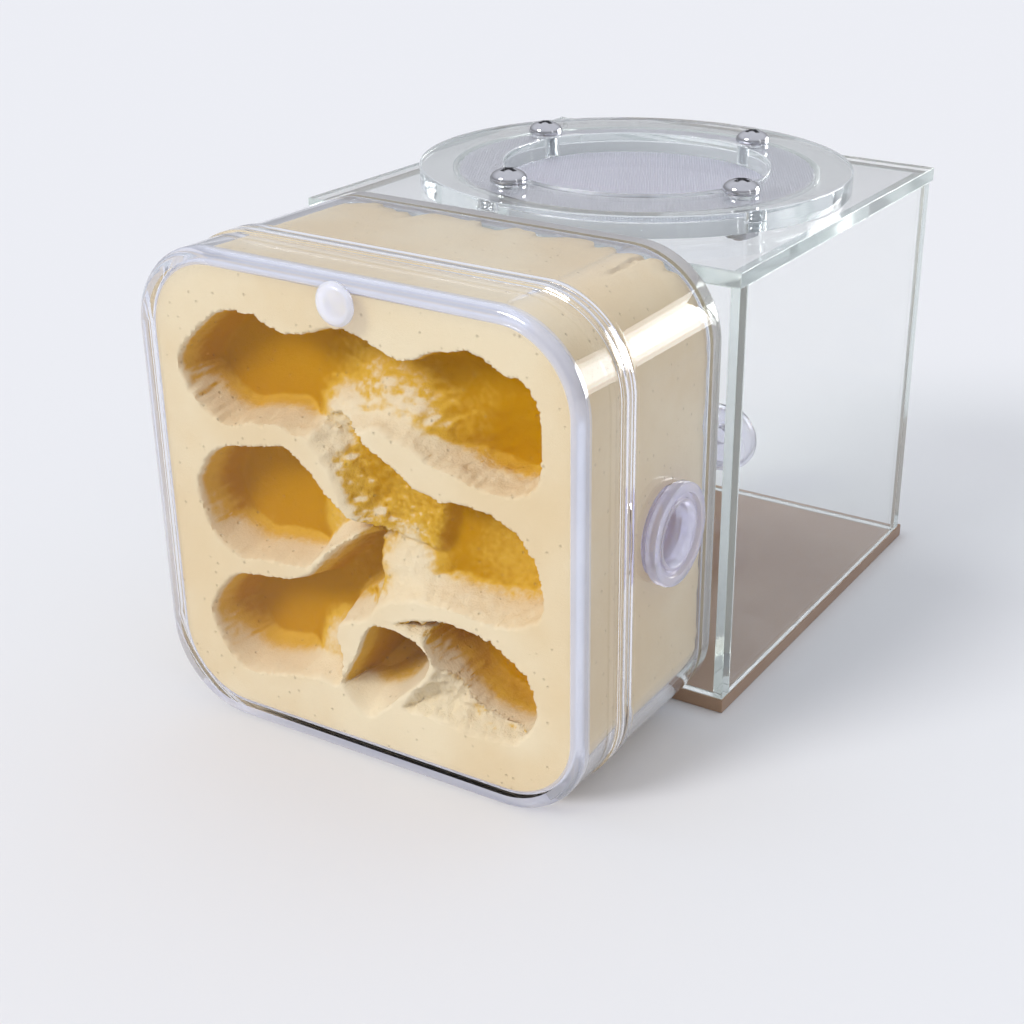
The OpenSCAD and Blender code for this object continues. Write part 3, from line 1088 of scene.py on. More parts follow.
    def screw(self, top: float, tip: float, head: float) -> bpy.types.Object:
        """Makes one screw about the Z axis.

        Args:
            top: Height of the ring's upper face, in mm.
            tip: Height of the screw's tip, in mm.
            head: Height of the head's crown, in mm.

        Returns:
            The screw.
        """
        rise = head - top
        shank, wide, edge = self.shank_radius, self.head_radius, top + self.head_edge * rise
        profile = [(0.0, tip), (shank - 0.5, tip)]
        height = tip + 0.4
        while height < top - self.pitch:
            profile += [(shank, height), (shank - 0.33, height + self.pitch / 2)]
            height += self.pitch
        profile += [(shank - 0.2, top + 0.05), (wide - 0.25, top + 0.05), (wide, top + 0.35),
                    (wide, edge)]
        profile += [(wide * (1 - drop), edge + (head - edge) * r) for r, drop in dome(1.0, 8)]
        piece = turned("screw", Axis.Z, (0.0, 0.0), profile, self.bright, 40)
        cut(piece, [self.recess_bar(turn, head - rise * 0.55, head + 0.5) for turn in (0, 90)])
        return piece

    def recess_bar(self, turn: int, low: float, high: float) -> bpy.types.Object:
        """Makes one bar of the cross that is cut into a screw's head.

        Args:
            turn: The bar's turn about Z, in degrees.
            low: Height of the recess's floor, in mm.
            high: Height of the bar's top, above the head, in mm.

        Returns:
            The bar, marked so that the cut faces take the painted shade of the recess.
        """
        bm = bmesh.new()
        ends = []
        for (length, width), height in ((self.recess_floor, low), (self.recess, high)):
            outline = rectangle(-length / 2, length / 2, -width / 2, width / 2)
            ends.append(ring(bm, Axis.Z, outline, height))
        skin(bm, ends)
        for end in ends:
            bm.faces.new(end)
        bmesh.ops.rotate(bm, verts=bm.verts, cent=(0, 0, 0),
                         matrix=Matrix.Rotation(math.radians(turn), 3, "Z"))
        bar = finished(f"recess_{turn}", bm, (self.bright,))
        # Marks the faces that the bar cuts, which get the recess's painted shade.
        inside = bar.data.attributes.new("recess", "FLOAT", "FACE")
        inside.data.foreach_set("value", [1.0] * len(bar.data.polygons))
        return bar

    def nut(self, low: float, high: float) -> bpy.types.Object:
        """Makes one nut about the Z axis.

        Args:
            low: Height of its lower face, in mm.
            high: Height of its upper face, in mm.

        Returns:
            The nut.
        """
        corner = self.nut_flats / 2 / math.cos(math.radians(30))
        hexagon = circle(0, 0, corner, 6)
        bore = circle(0, 0, self.shank_radius + 0.03, 32)
        return slab("nut", Axis.Z, hexagon, (bore,), low, high, self.nut_chamfer, self.plain,
                    self.plain)

    def ring_of(self, name: str, one: bpy.types.Object, finish: bpy.types.Material,
                seed: int) -> bpy.types.Object:
        """Grows copies of a fastener round the screw circle, each with its own turn.

        Args:
            name: The piece's name.
            one: The fastener, about the Z axis; deleted afterwards.
            finish: Its material.
            seed: Seed of the turns.

        Returns:
            The copies, as one piece.
        """
        tree = Growth(name)
        count = tree.size("Count", self.screws)
        radius = tree.size("Circle radius", self.screw_circle * MM)
        turn = tree.size("Turn", math.radians(self.screw_turn))
        source = tree.size("Fastener", one)
        material = tree.size("Finish", finish)
        points = tree.node("GeometryNodeMeshCircle", None, {"Vertices": count, "Radius": radius})
        angle = tree.node("ShaderNodeCombineXYZ", None, {2: turn})
        turned_points = tree.node("GeometryNodeTransform", None,
                                  {"Geometry": points, "Rotation": angle})
        shape = tree.node("GeometryNodeObjectInfo", {"transform_space": "ORIGINAL"},
                          {"Object": source}, "Geometry")
        spin = tree.node("FunctionNodeRandomValue", {"data_type": "FLOAT"},
                         {2: 0.0, 3: self.most_spin, "Seed": seed}, 1)
        twist = tree.node("ShaderNodeCombineXYZ", None, {2: spin})
        copies = tree.node("GeometryNodeInstanceOnPoints", None,
                           {"Points": turned_points, "Instance": shape, "Rotation": twist})
        piece = tree.grow(copies, material)
        bpy.data.objects.remove(one)
        return piece

    def screws_and_nuts(self) -> None:
        """Grows the screws and the nuts below them."""
        screw_seed, nut_seed = self.spin_seeds
        low, high = place_of("lid_screws")
        screw = self.screw(place_of("lid_ring")[1][2], low[2], high[2])
        screws = self.ring_of("lid_screws_cross", screw, self.bright, screw_seed)
        adopt(screws, "lid_screws")
        low, high = place_of("lid_nuts")
        nuts = self.ring_of("lid_nuts_hex", self.nut(low[2], high[2]), self.plain, nut_seed)
        adopt(nuts, "lid_nuts")


# Nest box ---------------------------------------------------------------------------------


@dataclass
class NestBox:
    """Clear two-part box round the gypsum, with its grommet, link tube and window plug."""

    corner: float = 17.5
    wall: float = 2.4
    back: float = 3.0
    proud: float = 0.4
    front_edge: float = 1.5
    inner_edge: float = 1.0
    tongue: float = 1.2
    collar_start: float = 12.0
    rim: float = 1.8
    rear_edge: float = 1.2
    rear_fillet: float = 1.5
    face_band: float = 0.25
    window_lips: int = 7
    housing_lips: int = 6
    fillet_lips: int = 5
    port_radius: float = 5.65
    port_height: float = 18.5
    side_height: float = 48.5
    side_back: float = 19.0
    side_hole: float = 7.0
    side_bore: float = 5.6
    side_lip: float = 8.5
    side_flange: float = 10.0
    tube_radii: Pair = (5.6, 4.4)
    button_radii: Pair = (4.0, 2.3)
    button_hole: float = 2.6
    button_step: float = -1.0
    button_drop: float = 5.0
    foot_band: float = 5.5

    def __post_init__(self) -> None:
        """Reads the box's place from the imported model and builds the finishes."""
        low, high = place_of("nest_window")
        self.front = low[1]
        self.seam = high[1]
        self.rear = place_of("nest_housing")[1][1]
        self.width = high[0] - low[0] - 2 * self.proud
        self.height = high[2] - low[2] - 2 * self.proud
        self.foot = low[2] + self.proud
        self.middle = ((low[0] + high[0]) / 2, (low[2] + high[2]) / 2)
        self.right = high[0] - self.proud
        self.side = self.rear - self.side_back
        self.port = (middle_of("front_wall")[0], self.port_height)
        self.button = (self.middle[0] + self.button_step, high[2] - self.proud - self.button_drop)
        self.clear = ClearSheet("clear_moulding", (0.975, 0.978, 0.995), (0.955, 0.955, 0.975),
                                1.5, (0.03, 0.03, 0.04), 0.00001, 40.0).build()
        self.lip = MouldedLip().build()
        # A paler, milkier copy of the lip for the bottom rim: painted light along the box's foot.
        self.foot_painted_light = MouldedLip("moulded_foot_painted_light", (0.42, 0.44, 0.60), (0.93, 0.93, 1.0),
                                   clear=0.4, swirls=700.0, drawn=(0.03, 1.0, 1.0)).build()
        self.silicone = Silicone("nest_silicone", (0.85, 0.84, 0.99), 0.64,
                                 (0.84, 0.83, 0.92)).build()
        self.milky = Silicone("milky_silicone", (0.86, 0.87, 0.98), 0.4).build()

    def outline(self, grow: float) -> Loop:
        """Gives the box's outline, grown sideways."""
        return rounded(*self.middle, self.width + 2 * grow, self.height + 2 * grow,
                       self.corner + grow)

    def shell(self, name: str, stations: Sequence[Pair], hole: Loop,
              lips: int) -> bpy.types.Object:
        """Makes a shell from stations that run from its outer face round to its inner one.

        Args:
            name: The piece's name.
            stations: Depth along Y and sideways growth of each outline, in mm.
            hole: Hole through the shell's flat face.
            lips: How many spans at the start of the stations show as the thick rim.

        Returns:
            The shell.
        """
        bm = bmesh.new()
        rows = [ring(bm, Axis.Y, self.outline(grow), depth) for depth, grow in stations]
        skin(bm, rows)
        spans = len(rows) - 1
        for number, item in enumerate(bm.faces):
            span = number // len(rows[0])
            # Rim faces near the foot take the paler copy: painted light along the bottom edge.
            under = item.calc_center_median().z < (self.foot + self.foot_band) * MM
            rim = 2 if under and span < lips else 1
            # The rim spans take the lip finish, with the light gathered in them painted on.
            shows = span < lips or span >= spans - self.fillet_lips
            item.material_index = rim if shows else 0
        mouths = [ring(bm, Axis.Y, hole, stations[i][0]) for i in (0, -1)]
        skin(bm, mouths)
        fill(bm, (rows[0], mouths[0]))
        fill(bm, (rows[-1], mouths[1]))
        return finished(name, bm, (self.clear, self.lip, self.foot_painted_light), 50.0)

    @staticmethod
    def rounding(depth: float, grow: float, radius: float, towards: int) -> list[Pair]:
        """Gives the stations of a rounded edge, from the flat face to the side.

        Args:
            depth: The flat face's place along Y.
            grow: The side's growth.
            radius: The edge's radius.
            towards: 1 if the side runs to higher Y from the face, or -1.

        Returns:
            The stations.
        """
        return [(depth + towards * radius * drop, grow - radius * (1 - out))
                for out, drop in [(0.0, 0.0)] + dome(1.0, 5)]

    def build(self) -> None:
        """Builds every piece of the nest but the gypsum."""
        self.window()
        self.housing()
        self.side_grommet()
        self.tube()
        self.plug()

    def window(self) -> None:
        """Builds the front shell with its two-ridged collar."""
        start = self.front + self.collar_start
        inner_face = self.front + self.wall
        p, inner = self.proud, -self.wall
        cut_back = inner + self.tongue + 0.3
        outer = [(self.front, inner - self.face_band)]
        outer += self.rounding(self.front, 0.0, self.front_edge, 1)
        outer += [(inner_face, 0.0), (start - 0.3, 0.0), (start + 0.05, p * 0.85),
                  (start + 0.35, p), (start + 1.1, p), (start + 1.45, p * 0.6),
                  (start + 1.6, p * 0.2), (start + 1.75, p * 0.6), (start + 2.0, p),
                  (self.seam - 0.35, p), (self.seam - 0.03, p * 0.3),
                  (self.seam - 0.03, cut_back), (start + self.wall, cut_back),
                  (start + self.wall, inner)]
        fillet = self.rounding(inner_face, inner, self.inner_edge, 1)
        piece = self.shell("nest_front_shell", outer + fillet[::-1],
                           circle(*self.button, self.button_hole, 40), self.window_lips)
        adopt(flattened(piece), "nest_window")

    def housing(self) -> None:
        """Builds the rear shell with its tongue, proud rim, link port and side port."""
        p, inner = self.proud, -self.wall
        tongue = inner + self.tongue
        start = self.front + self.collar_start + self.wall + 0.3
        end = self.seam + self.rim
        inner_face = self.rear - self.back
        outer = self.rounding(self.rear, 0.0, self.rear_edge, -1)
        outer += [(inner_face - self.rear_edge, 0.0), (end + 0.25, 0.0), (end, p * 0.6),
                  (end - 0.3, p), (self.seam + 0.35, p), (self.seam + 0.05, p * 0.4),
                  (self.seam + 0.05, tongue), (start + 0.2, tongue), (start, tongue - 0.2),
                  (start, inner)]
        fillet = self.rounding(inner_face, inner, self.rear_fillet, -1)
        piece = self.shell("nest_rear_shell", outer + fillet[::-1],
                           circle(*self.port, self.port_radius, 48), self.housing_lips)
        low, high = self.right - 6.0, self.right + 3.0
        bore = turned("side_bore", Axis.X, (self.side, self.side_height),
                      [(0.0, low), (self.side_hole, low), (self.side_hole, high), (0.0, high)],
                      self.clear, 64)
        cut(piece, (bore,))
        adopt(flattened(piece), "nest_housing")

    def side_grommet(self) -> None:
        """Builds the open grommet in the right side."""
        low, high = place_of("side_grommet")
        start, end, face = low[0], high[0], self.right
        inner, outer = face - self.wall - 0.05, face + 0.04
        bore, lip, flange = self.side_bore, self.side_lip, self.side_flange
        neck = self.side_hole - 0.08
        profile = [(bore, start), (lip - 0.4, start), (lip, start + 0.4), (lip, inner),
                   (neck, inner), (neck, outer), (flange - 0.2, outer), (flange, face + 0.4),
                   (flange, end - 0.5), (flange - 0.15, end - 0.15), (flange - 0.5, end),
                   (8.3, end), (8.1, end - 0.1), (7.95, end - 0.9), (7.75, end - 1.0),
                   (7.2, end - 1.0), (7.0, end - 0.9), (6.9, end - 0.45), (6.7, end - 0.35),
                   (6.3, end - 0.35), (6.1, end - 0.5), (bore + 0.2, end - 1.5),
                   (bore, end - 1.8)]
        piece = turned("side_grommet_soft", Axis.X, (self.side, self.side_height), profile,
                       self.silicone, 80, 40.0)
        adopt(piece, "side_grommet")

    def tube(self) -> None:
        """Builds the clear link tube."""
        low, high = place_of("link_tube")
        outer, inner = self.tube_radii
        profile = [(inner + 0.2, low[1]), (outer - 0.2, low[1]), (outer, low[1] + 0.2),
                   (outer, high[1] - 0.2), (outer - 0.2, high[1]), (inner + 0.2, high[1]),
                   (inner, high[1] - 0.2), (inner, low[1] + 0.2)]
        piece = turned("link_tube_clear", Axis.Y, self.port, profile, self.clear)
        adopt(piece, "link_tube")

    def plug(self) -> None:
        """Builds the domed plug of the watering hole."""
        low, high = place_of("window_plug")
        head, shank = self.button_radii
        seat = self.front - 0.03
        rise = self.front - low[1]
        profile = [(0.0, low[1])]
        profile += [(r, low[1] + rise * 0.55 * drop) for r, drop in dome(head - 0.25, 6)]
        profile += [(head, low[1] + rise * 0.65), (head, self.front - 0.25), (head - 0.2, seat),
                    (shank, seat), (shank, high[1] - 0.4), (shank - 0.4, high[1]),
                    (0.0, high[1])]
        piece = turned("window_plug_soft", Axis.Y, self.button, profile, self.milky, 48)
        adopt(piece, "window_plug")


# Gypsum -----------------------------------------------------------------------------------


@dataclass(frozen=True)
class Gallery:
    """One carved gallery.

    The mouth's points and the pits are seen from the front: x from the box's middle and z from
    its underside, in mm. A pit is x, z, radius and extra depth, and a mound has less than 0.
    Ceiling, wall and floor say how far the carving takes to reach its depth there.
    """

    name: str
    mouth: tuple[Pair, ...]
    depth: float
    ceiling: float
    wall: float
    floor: float
    rough: float
    pits: tuple[tuple[float, float, float, float], ...] = ()


GALLERIES = (
    Gallery("upper", (
        (-40.6, 71.6), (-39.4, 76.2), (-34, 81.8), (-30, 84.4), (-25.6, 85.6), (-21, 85),
        (-15.3, 83.4), (-11.5, 83.7), (-4, 86), (1.5, 86), (7.9, 83.5), (11, 83), (14.5, 84.1),
        (18, 86), (25.4, 86.9), (31.6, 84.4), (35, 84), (37.6, 81.2), (39, 76.5), (39, 71),
        (38.5, 67.1), (36.6, 64.3), (32.3, 62.4), (27, 62.7), (17.3, 64.6), (12, 66.6), (5, 68.8),
        (1, 68), (-6, 66), (-12.8, 64), (-18, 65), (-25.3, 64), (-30.3, 62.7), (-36, 65.5)),
        9.0, 1.3, 3.0, 2.6, 0.26,
        ((-26, 74, 13, 1.8), (4, 68, 11, -5.0), (13, 67, 8, -2.5), (27, 66, 7, 1.5),
         (-8, 66, 7, -4.0))),
    Gallery("tunnel", (
        (-13.5, 66.5), (-9, 69.5), (-3, 69), (3, 65), (9, 61.7), (12, 59.4), (18, 57.6),
        (22, 50), (20, 40), (10, 38.5), (1, 40), (-0.5, 46), (-3.6, 50.9), (-7, 58.6),
        (-10, 62.3)),
        5.2, 1.6, 6.0, 7.0, 0.42, ((6, 55, 7, 0.8),)),
    Gallery("middle_left", (
        (-38.8, 47.7), (-37.8, 51.5), (-35.3, 55.6), (-31.5, 58), (-27, 59), (-17.3, 61),
        (-14.6, 59.9), (-10.9, 57.2), (-8.5, 54.4), (-4, 50.9), (0, 48.9), (5, 47.5),
        (4, 45.8), (-0.3, 46.9), (-4, 45.1), (-8.4, 41.8), (-11.5, 39), (-14, 37.3),
        (-22.8, 36.5), (-28, 35.4), (-31.5, 36.2), (-36, 39.6)),
        9.0, 1.3, 3.0, 3.2, 0.14, ((-26, 47, 11, 1.8), (-8, 46, 8, -3.5))),
    Gallery("middle_right", (
        (-4, 43), (-2, 46.5), (-0.5, 48.8), (3.6, 47.9), (7.6, 47.3), (11.4, 46.9), (13, 50),
        (14.6, 56), (17.2, 57.9),
        (22, 58.6), (28.5, 58.1), (33, 56.4), (37.4, 51.5), (39.2, 44.5), (38.4, 40.9),
        (36, 38.5), (32, 37.1), (26, 36.6), (20, 37.2), (12.3, 36.8), (7.3, 35.5), (4.1, 34),
        (0.4, 30.2), (-3, 28.6), (-8.5, 27), (-12, 31), (-8, 38)),
        8.0, 1.4, 4.0, 4.4, 0.22, ((31, 46, 8, 1.2), (6, 38, 10, -4.5))),
    Gallery("lower_left", (
        (-38.1, 20.2), (-37.7, 23.6), (-35.5, 27), (-32.5, 30.3), (-29, 32.2), (-22.1, 32.9),
        (-15.5, 34.4), (-12.8, 36.2), (-6.5, 42.9), (-2.8, 45.7), (1.2, 46.4), (1.2, 42),
        (2.2, 37.4), (1.3, 34.4), (-1.4, 32), (-5.3, 28.3), (-7.1, 25), (-6, 20), (-7.4, 13.6),
        (-11.5, 13.7), (-17, 12.9), (-25.3, 10.9), (-30.3, 10.5), (-34.6, 13)),
        9.5, 1.3, 3.0, 4.2, 0.14,
        ((-27, 21, 11, 1.8), (-11, 17, 8, -5.0), (-3, 38, 7, 1.5))),
    Gallery("hollow", (
        (-6.5, 14), (-5.2, 17.2), (-2.8, 21.5), (-0.9, 26), (1.2, 28.7), (5, 29.5), (8.7, 29),
        (12.2, 27.7), (14.2, 25.6), (14.2, 23.6), (12.6, 20.6), (9.8, 17.7), (6, 14),
        (2.9, 11), (0.2, 8.8), (-3, 9.6)),
        20.0, 1.3, 2.4, 7.0, 0.03, ((-4, 11, 8, -12.0), (3, 10, 5, -5.0))),
    Gallery("lower_right", (
        (2.5, 30.4), (5.4, 30.6), (9.8, 32.1), (13.5, 33.4), (17.3, 34), (22.9, 34.1),
        (27, 33.2), (31, 31.4), (34.4, 29.2), (36.5, 26), (37.7, 21), (36, 16.5), (33.5, 13.7),
        (31, 12.6), (19.8, 12.4), (13.5, 13), (7.5, 12.6), (10.6, 17.6), (13.6, 20.4),
        (15.4, 23.5), (15.2, 26.3), (12.9, 28.4), (8.5, 29.9)),
        5.0, 0.9, 5.5, 5.0, 0.55, ((20, 16, 9, -1.5),)),
    Gallery("cavity", (
        (13, 30), (18, 33.3), (22.9, 34), (27, 33.1), (31, 31.3), (34.4, 29.1), (36.4, 26),
        (37.6, 21), (36.4, 17.5), (33, 15.2), (28, 15.3), (23.5, 16.6), (20, 19), (17.5, 22),
        (14.8, 25)),
        13.0, 1.2, 2.2, 2.6, 0.1),
)


# Lighter and darker places in the galleries, partly real staining and partly painted light and
# shade: x, z, radius and how much more ochre they are.
STAIN_AND_SHADE_PATCHES = (
    (-30, 74, 14, 0.25), (-27, 47, 12, 0.25), (-27, 22, 12, 0.3), (1, 75, 15, -0.45),
    (-8, 68, 8, -0.4), (20, 72, 16, -0.25), (28, 70, 7, 0.35), (-8, 45, 10, -0.4),
    (-8, 63, 6, -0.4), (8, 54, 9, -0.25), (8, 43, 10, -0.7), (28, 48, 14, -0.35),
    (-3, 40, 5, 0.2), (-12, 18, 8, -0.4), (13, 18, 9, -1.0), (19, 15, 7, -0.6),
    (10, 31.5, 6, 0.5), (6, 19, 11, -0.6))


def ramp(value: np.ndarray, low: float, high: float) -> np.ndarray:
    """Maps low to 0 and high to 1, smoothly, and clamps."""
    t = np.clip((value - low) / (high - low), 0, 1)
    return t * t * (3 - 2 * t)


def cloud(points: np.ndarray, cell: float, seed: int) -> np.ndarray:
    """Gives smooth noise from -1 to 1 in space.

    Args:
        points: The points, one per row.
        cell: Size of a feature, in the points' unit.
        seed: Seed of the lattice.

    Returns:
        The noise at each point.
    """
    size = 32
    lattice = np.random.default_rng(seed).uniform(-1, 1, (size, size, size))
    scaled = points / cell
    base = np.floor(scaled).astype(int)
    part = scaled - base
    part = part * part * (3 - 2 * part)
    total = np.zeros(len(points))
    for corner in np.ndindex(2, 2, 2):
        weight = np.prod(np.where(np.array(corner) == 1, part, 1 - part), axis=1)
        i, j, k = ((base + corner) % size).T
        total += weight * lattice[i, j, k]
    return total


def smooth_most(a: np.ndarray, b: np.ndarray, blend: float) -> np.ndarray:
    """Takes the larger of two fields, and rounds the crease between them."""
    near = np.clip(1 - np.abs(a - b) / blend, 0, 1)
    return np.maximum(a, b) + near * near * blend / 4


@dataclass
class GypsumBlock:
    """Cast block with its carved front, broken rear edge, cracks and side recess."""

    cells: int = 204
    splits: int = 3
    step: float = 0.9
    rows: int = 20
    corner: float = 14.8
    span: int = 5
    blend: float = 0.9
    edge_jitter: float = 0.24
    tunnel_radius: float = 4.7
    tunnel_start: float = 17.0
    recess_radius: float = 9.0
    recess_floor: float = 7.5
    recess_depth: float = 7.0
    broken_top: float = 4.0
    broken_sides: float = 1.0
    inset: float = 3.0
    window_gap: float = 0.4
    crack_place: float = 33.0
    crack_width: float = 0.35
    crack_depth: float = 0.8
    crack_span: Pair = (-72.0, -68.0)
    clean_rim: float = 1.5
    clean_back: float = 6.0

    def __post_init__(self) -> None:
        """Reads the block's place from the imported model."""
        self.low, self.high = place_of("gypsum_block")
        self.box_middle = middle_of("nest_window")[0]
        self.box_foot = place_of("nest_window")[0][2] + self.window_gap

    def loop(self, gallery: Gallery) -> np.ndarray:
        """Gives a gallery's mouth as a smooth closed loop through its points.

        Args:
            gallery: The gallery.

        Returns:
            The loop's points, one per row.
        """
        p = np.array(gallery.mouth, float)
        before, after, beyond = np.roll(p, 1, 0), np.roll(p, -1, 0), np.roll(p, -2, 0)
        parts = []
        for k in range(self.span):
            t = k / self.span
            parts.append(0.5 * (2 * p + (after - before) * t
                                + (2 * before - 5 * p + 4 * after - beyond) * t * t
                                + (3 * p - before - 3 * after + beyond) * t ** 3))
        return np.stack(parts, 1).reshape(-1, 2)

    def inside(self, points: np.ndarray, loop: np.ndarray) -> tuple[np.ndarray, np.ndarray]:
        """Measures how far points lie inside a loop.

        Args:
            points: The points, one per row.
            loop: The closed loop.

        Returns:
            The distance to the loop, above 0 inside it, and the direction away from it.
        """
        nearest = np.full(len(points), 1e9)
        away = np.zeros_like(points)
        odd = np.zeros(len(points), bool)
        for a, b in zip(loop, np.roll(loop, -1, 0)):
            edge = b - a
            t = np.clip((points - a) @ edge / (edge @ edge), 0, 1)
            gap = points - (a + t[:, None] * edge)
            distance = np.hypot(gap[:, 0], gap[:, 1])
            closer = distance < nearest
            nearest = np.where(closer, distance, nearest)
            away[closer] = gap[closer]
            if a[1] != b[1]:
                crosses = (a[1] > points[:, 1]) != (b[1] > points[:, 1])
                x = a[0] + (points[:, 1] - a[1]) * edge[0] / edge[1]
                odd ^= crosses & (points[:, 0] < x)
        sign = np.where(odd, 1.0, -1.0)
        direction = away / np.maximum(nearest, 1e-6)[:, None] * sign[:, None]
        return nearest * sign, direction

    def carve(self, points: np.ndarray) -> tuple[np.ndarray, np.ndarray]:
        """Carves the front.

        Args:
            points: x from the box's middle and z from its underside, in mm.

        Returns:
            The depth behind the front face, and how rough the surface is.
        """
        space = np.stack([points[:, 0], np.zeros(len(points)), points[:, 1]], 1)
        jitter = (cloud(space, 2.4, 11) + cloud(space, 0.9, 12)) * self.edge_jitter
        total = np.zeros(len(points))
        rough = np.zeros(len(points))
        rougher = 0.35 + 0.65 * ramp(points[:, 0], -20, -6)
        for gallery in GALLERIES:
            loop = self.loop(gallery)
            near = ((points > loop.min(0) - 1) & (points < loop.max(0) + 1)).all(1)
            p = points[near]
            distance, direction = self.inside(p, loop)
            edge = np.exp(-np.maximum(distance, 0) / 1.5) * min(1.0, gallery.rough * 5)
            distance = distance + jitter[near] * edge
            up = ramp(direction[:, 1], 0.0, 0.8)
            left = ramp(direction[:, 0], 0.1, 0.9) * (1 - up)
            width = (gallery.ceiling + (gallery.wall - gallery.ceiling) * left
                     + (gallery.floor - gallery.ceiling) * up)
            t = np.clip(distance / width, 0, 1)
            full = np.full(len(p), gallery.depth)
            for px, pz, radius, extra in gallery.pits:
                reach = np.hypot(p[:, 0] - px, p[:, 1] - pz)
                full += extra * (1 - ramp(reach, radius * 0.2, radius * 1.4))
            carved = full * (0.25 * t * t * (3 - 2 * t) + 0.75 * (1 - (1 - t) ** 2.2))
            deeper = carved > total[near] - 0.5
            rough[near] = np.where(deeper & (t > 0), gallery.rough * ramp(t, 0, 0.15)
                                   * rougher[near], rough[near])
            total[near] = np.where(carved > 0, smooth_most(total[near], carved, self.blend)
                                   * ramp(np.maximum(carved, total[near]), 0, 0.4), total[near])
        return total, rough

    def grid(self) -> tuple[np.ndarray, np.ndarray]:
        """Gives the front's grid, its corners rounded."""
        width, height = (self.high - self.low)[[0, 2]]
        u = np.linspace(-width / 2, width / 2, self.cells + 1)
        v = np.linspace(-height / 2, height / 2, self.cells + 1)
        x, z = np.meshgrid(u, v, indexing="ij")
        a = np.abs(x) - (width / 2 - self.corner)
        b = np.abs(z) - (height / 2 - self.corner)
        both = (a > 0) & (b > 0)
        reach = np.maximum(a, b)
        length = np.maximum(np.hypot(a, b), 1e-9)
        x = np.where(both, np.sign(x) * (width / 2 - self.corner + a * reach / length), x)
        z = np.where(both, np.sign(z) * (height / 2 - self.corner + b * reach / length), z)
        middle = (self.low + self.high) / 2
        return x + middle[0], z + middle[2]

    def build(self) -> None:
        """Builds the block."""
        bm = bmesh.new()
        self.flat_front(bm)
        self.carve_front(bm)
        self.sides(bm)
        bmesh.ops.scale(bm, vec=(MM, MM, MM), verts=bm.verts)
        mesh = bpy.data.meshes.new("gypsum_carved")
        bm.to_mesh(mesh)
        bm.free()
        mesh.attributes.remove(mesh.attributes["order"])
        mesh.materials.append(Gypsum().build())
        piece = shown("gypsum_carved", mesh)
        self.bores(piece)
        mend(piece.data)
        self.age(piece.data)
        piece.data.shade_smooth()
        piece.data.set_sharp_from_angle(angle=math.radians(60))
        adopt(piece, "gypsum_block")

    def flat_front(self, bm: bmesh.types.BMesh) -> None:
        """Lays the front's grid flat, and numbers the vertices of its rim in order.

        Args:
            bm: The block's mesh, in mm.
        """
        bm.verts.layers.int.new("order")
        bm.verts.layers.float.new("rough")
        order = bm.verts.layers.int["order"]
        x, z = self.grid()
        n = self.cells
        made = [[bm.verts.new((x[i, j], self.low[1], z[i, j])) for j in range(n + 1)]
                for i in range(n + 1)]
        for i in range(n):
            for j in range(n):
                bm.faces.new((made[i][j], made[i + 1][j], made[i + 1][j + 1], made[i][j + 1]))
        rim = [made[i][0] for i in range(n)] + [made[n][j] for j in range(n)]
        rim += [made[i][n] for i in range(n, 0, -1)] + [made[0][j] for j in range(n, 0, -1)]
        for number, vert in enumerate(rim, 1):
            vert[order] = number

    def carve_front(self, bm: bmesh.types.BMesh) -> None:
        """Carves the flat front, with more faces where it is steep, and roughens it.

        Args:
            bm: The block's mesh, in mm.
        """
        for _ in range(self.splits):
            bm.verts.index_update()
            depth, _ = self.carve(self.seen(bm))
            steep = [e for e in bm.edges
                     if abs(depth[e.verts[0].index] - depth[e.verts[1].index]) > self.step]
            bmesh.ops.subdivide_edges(bm, edges=steep, cuts=1, use_grid_fill=True)
        bm.verts.index_update()
        depth, rough = self.carve(self.seen(bm))
        for vert, deep in zip(bm.verts, depth):
            vert.co.y = self.low[1] + deep
        bm.normal_update()
        spots = np.array([v.co for v in bm.verts])
        bumps = cloud(spots, 2.4, 21) + 0.9 * cloud(spots, 1.1, 22) + 0.6 * cloud(spots, 0.6, 23)
        layer = bm.verts.layers.float["rough"]
        for vert, bump, share in zip(bm.verts, bumps, rough):
            vert[layer] = share
            if share > 0:
                vert.co += vert.normal * float(bump * share)
                vert.co.y = max(vert.co.y, self.low[1])

    def seen(self, bm: bmesh.types.BMesh) -> np.ndarray:
        """Gives the vertices as they are seen from the front, in the box's own x and z."""
        places = np.array([(v.co.x, v.co.z) for v in bm.verts])
        return places - (self.box_middle, self.box_foot)

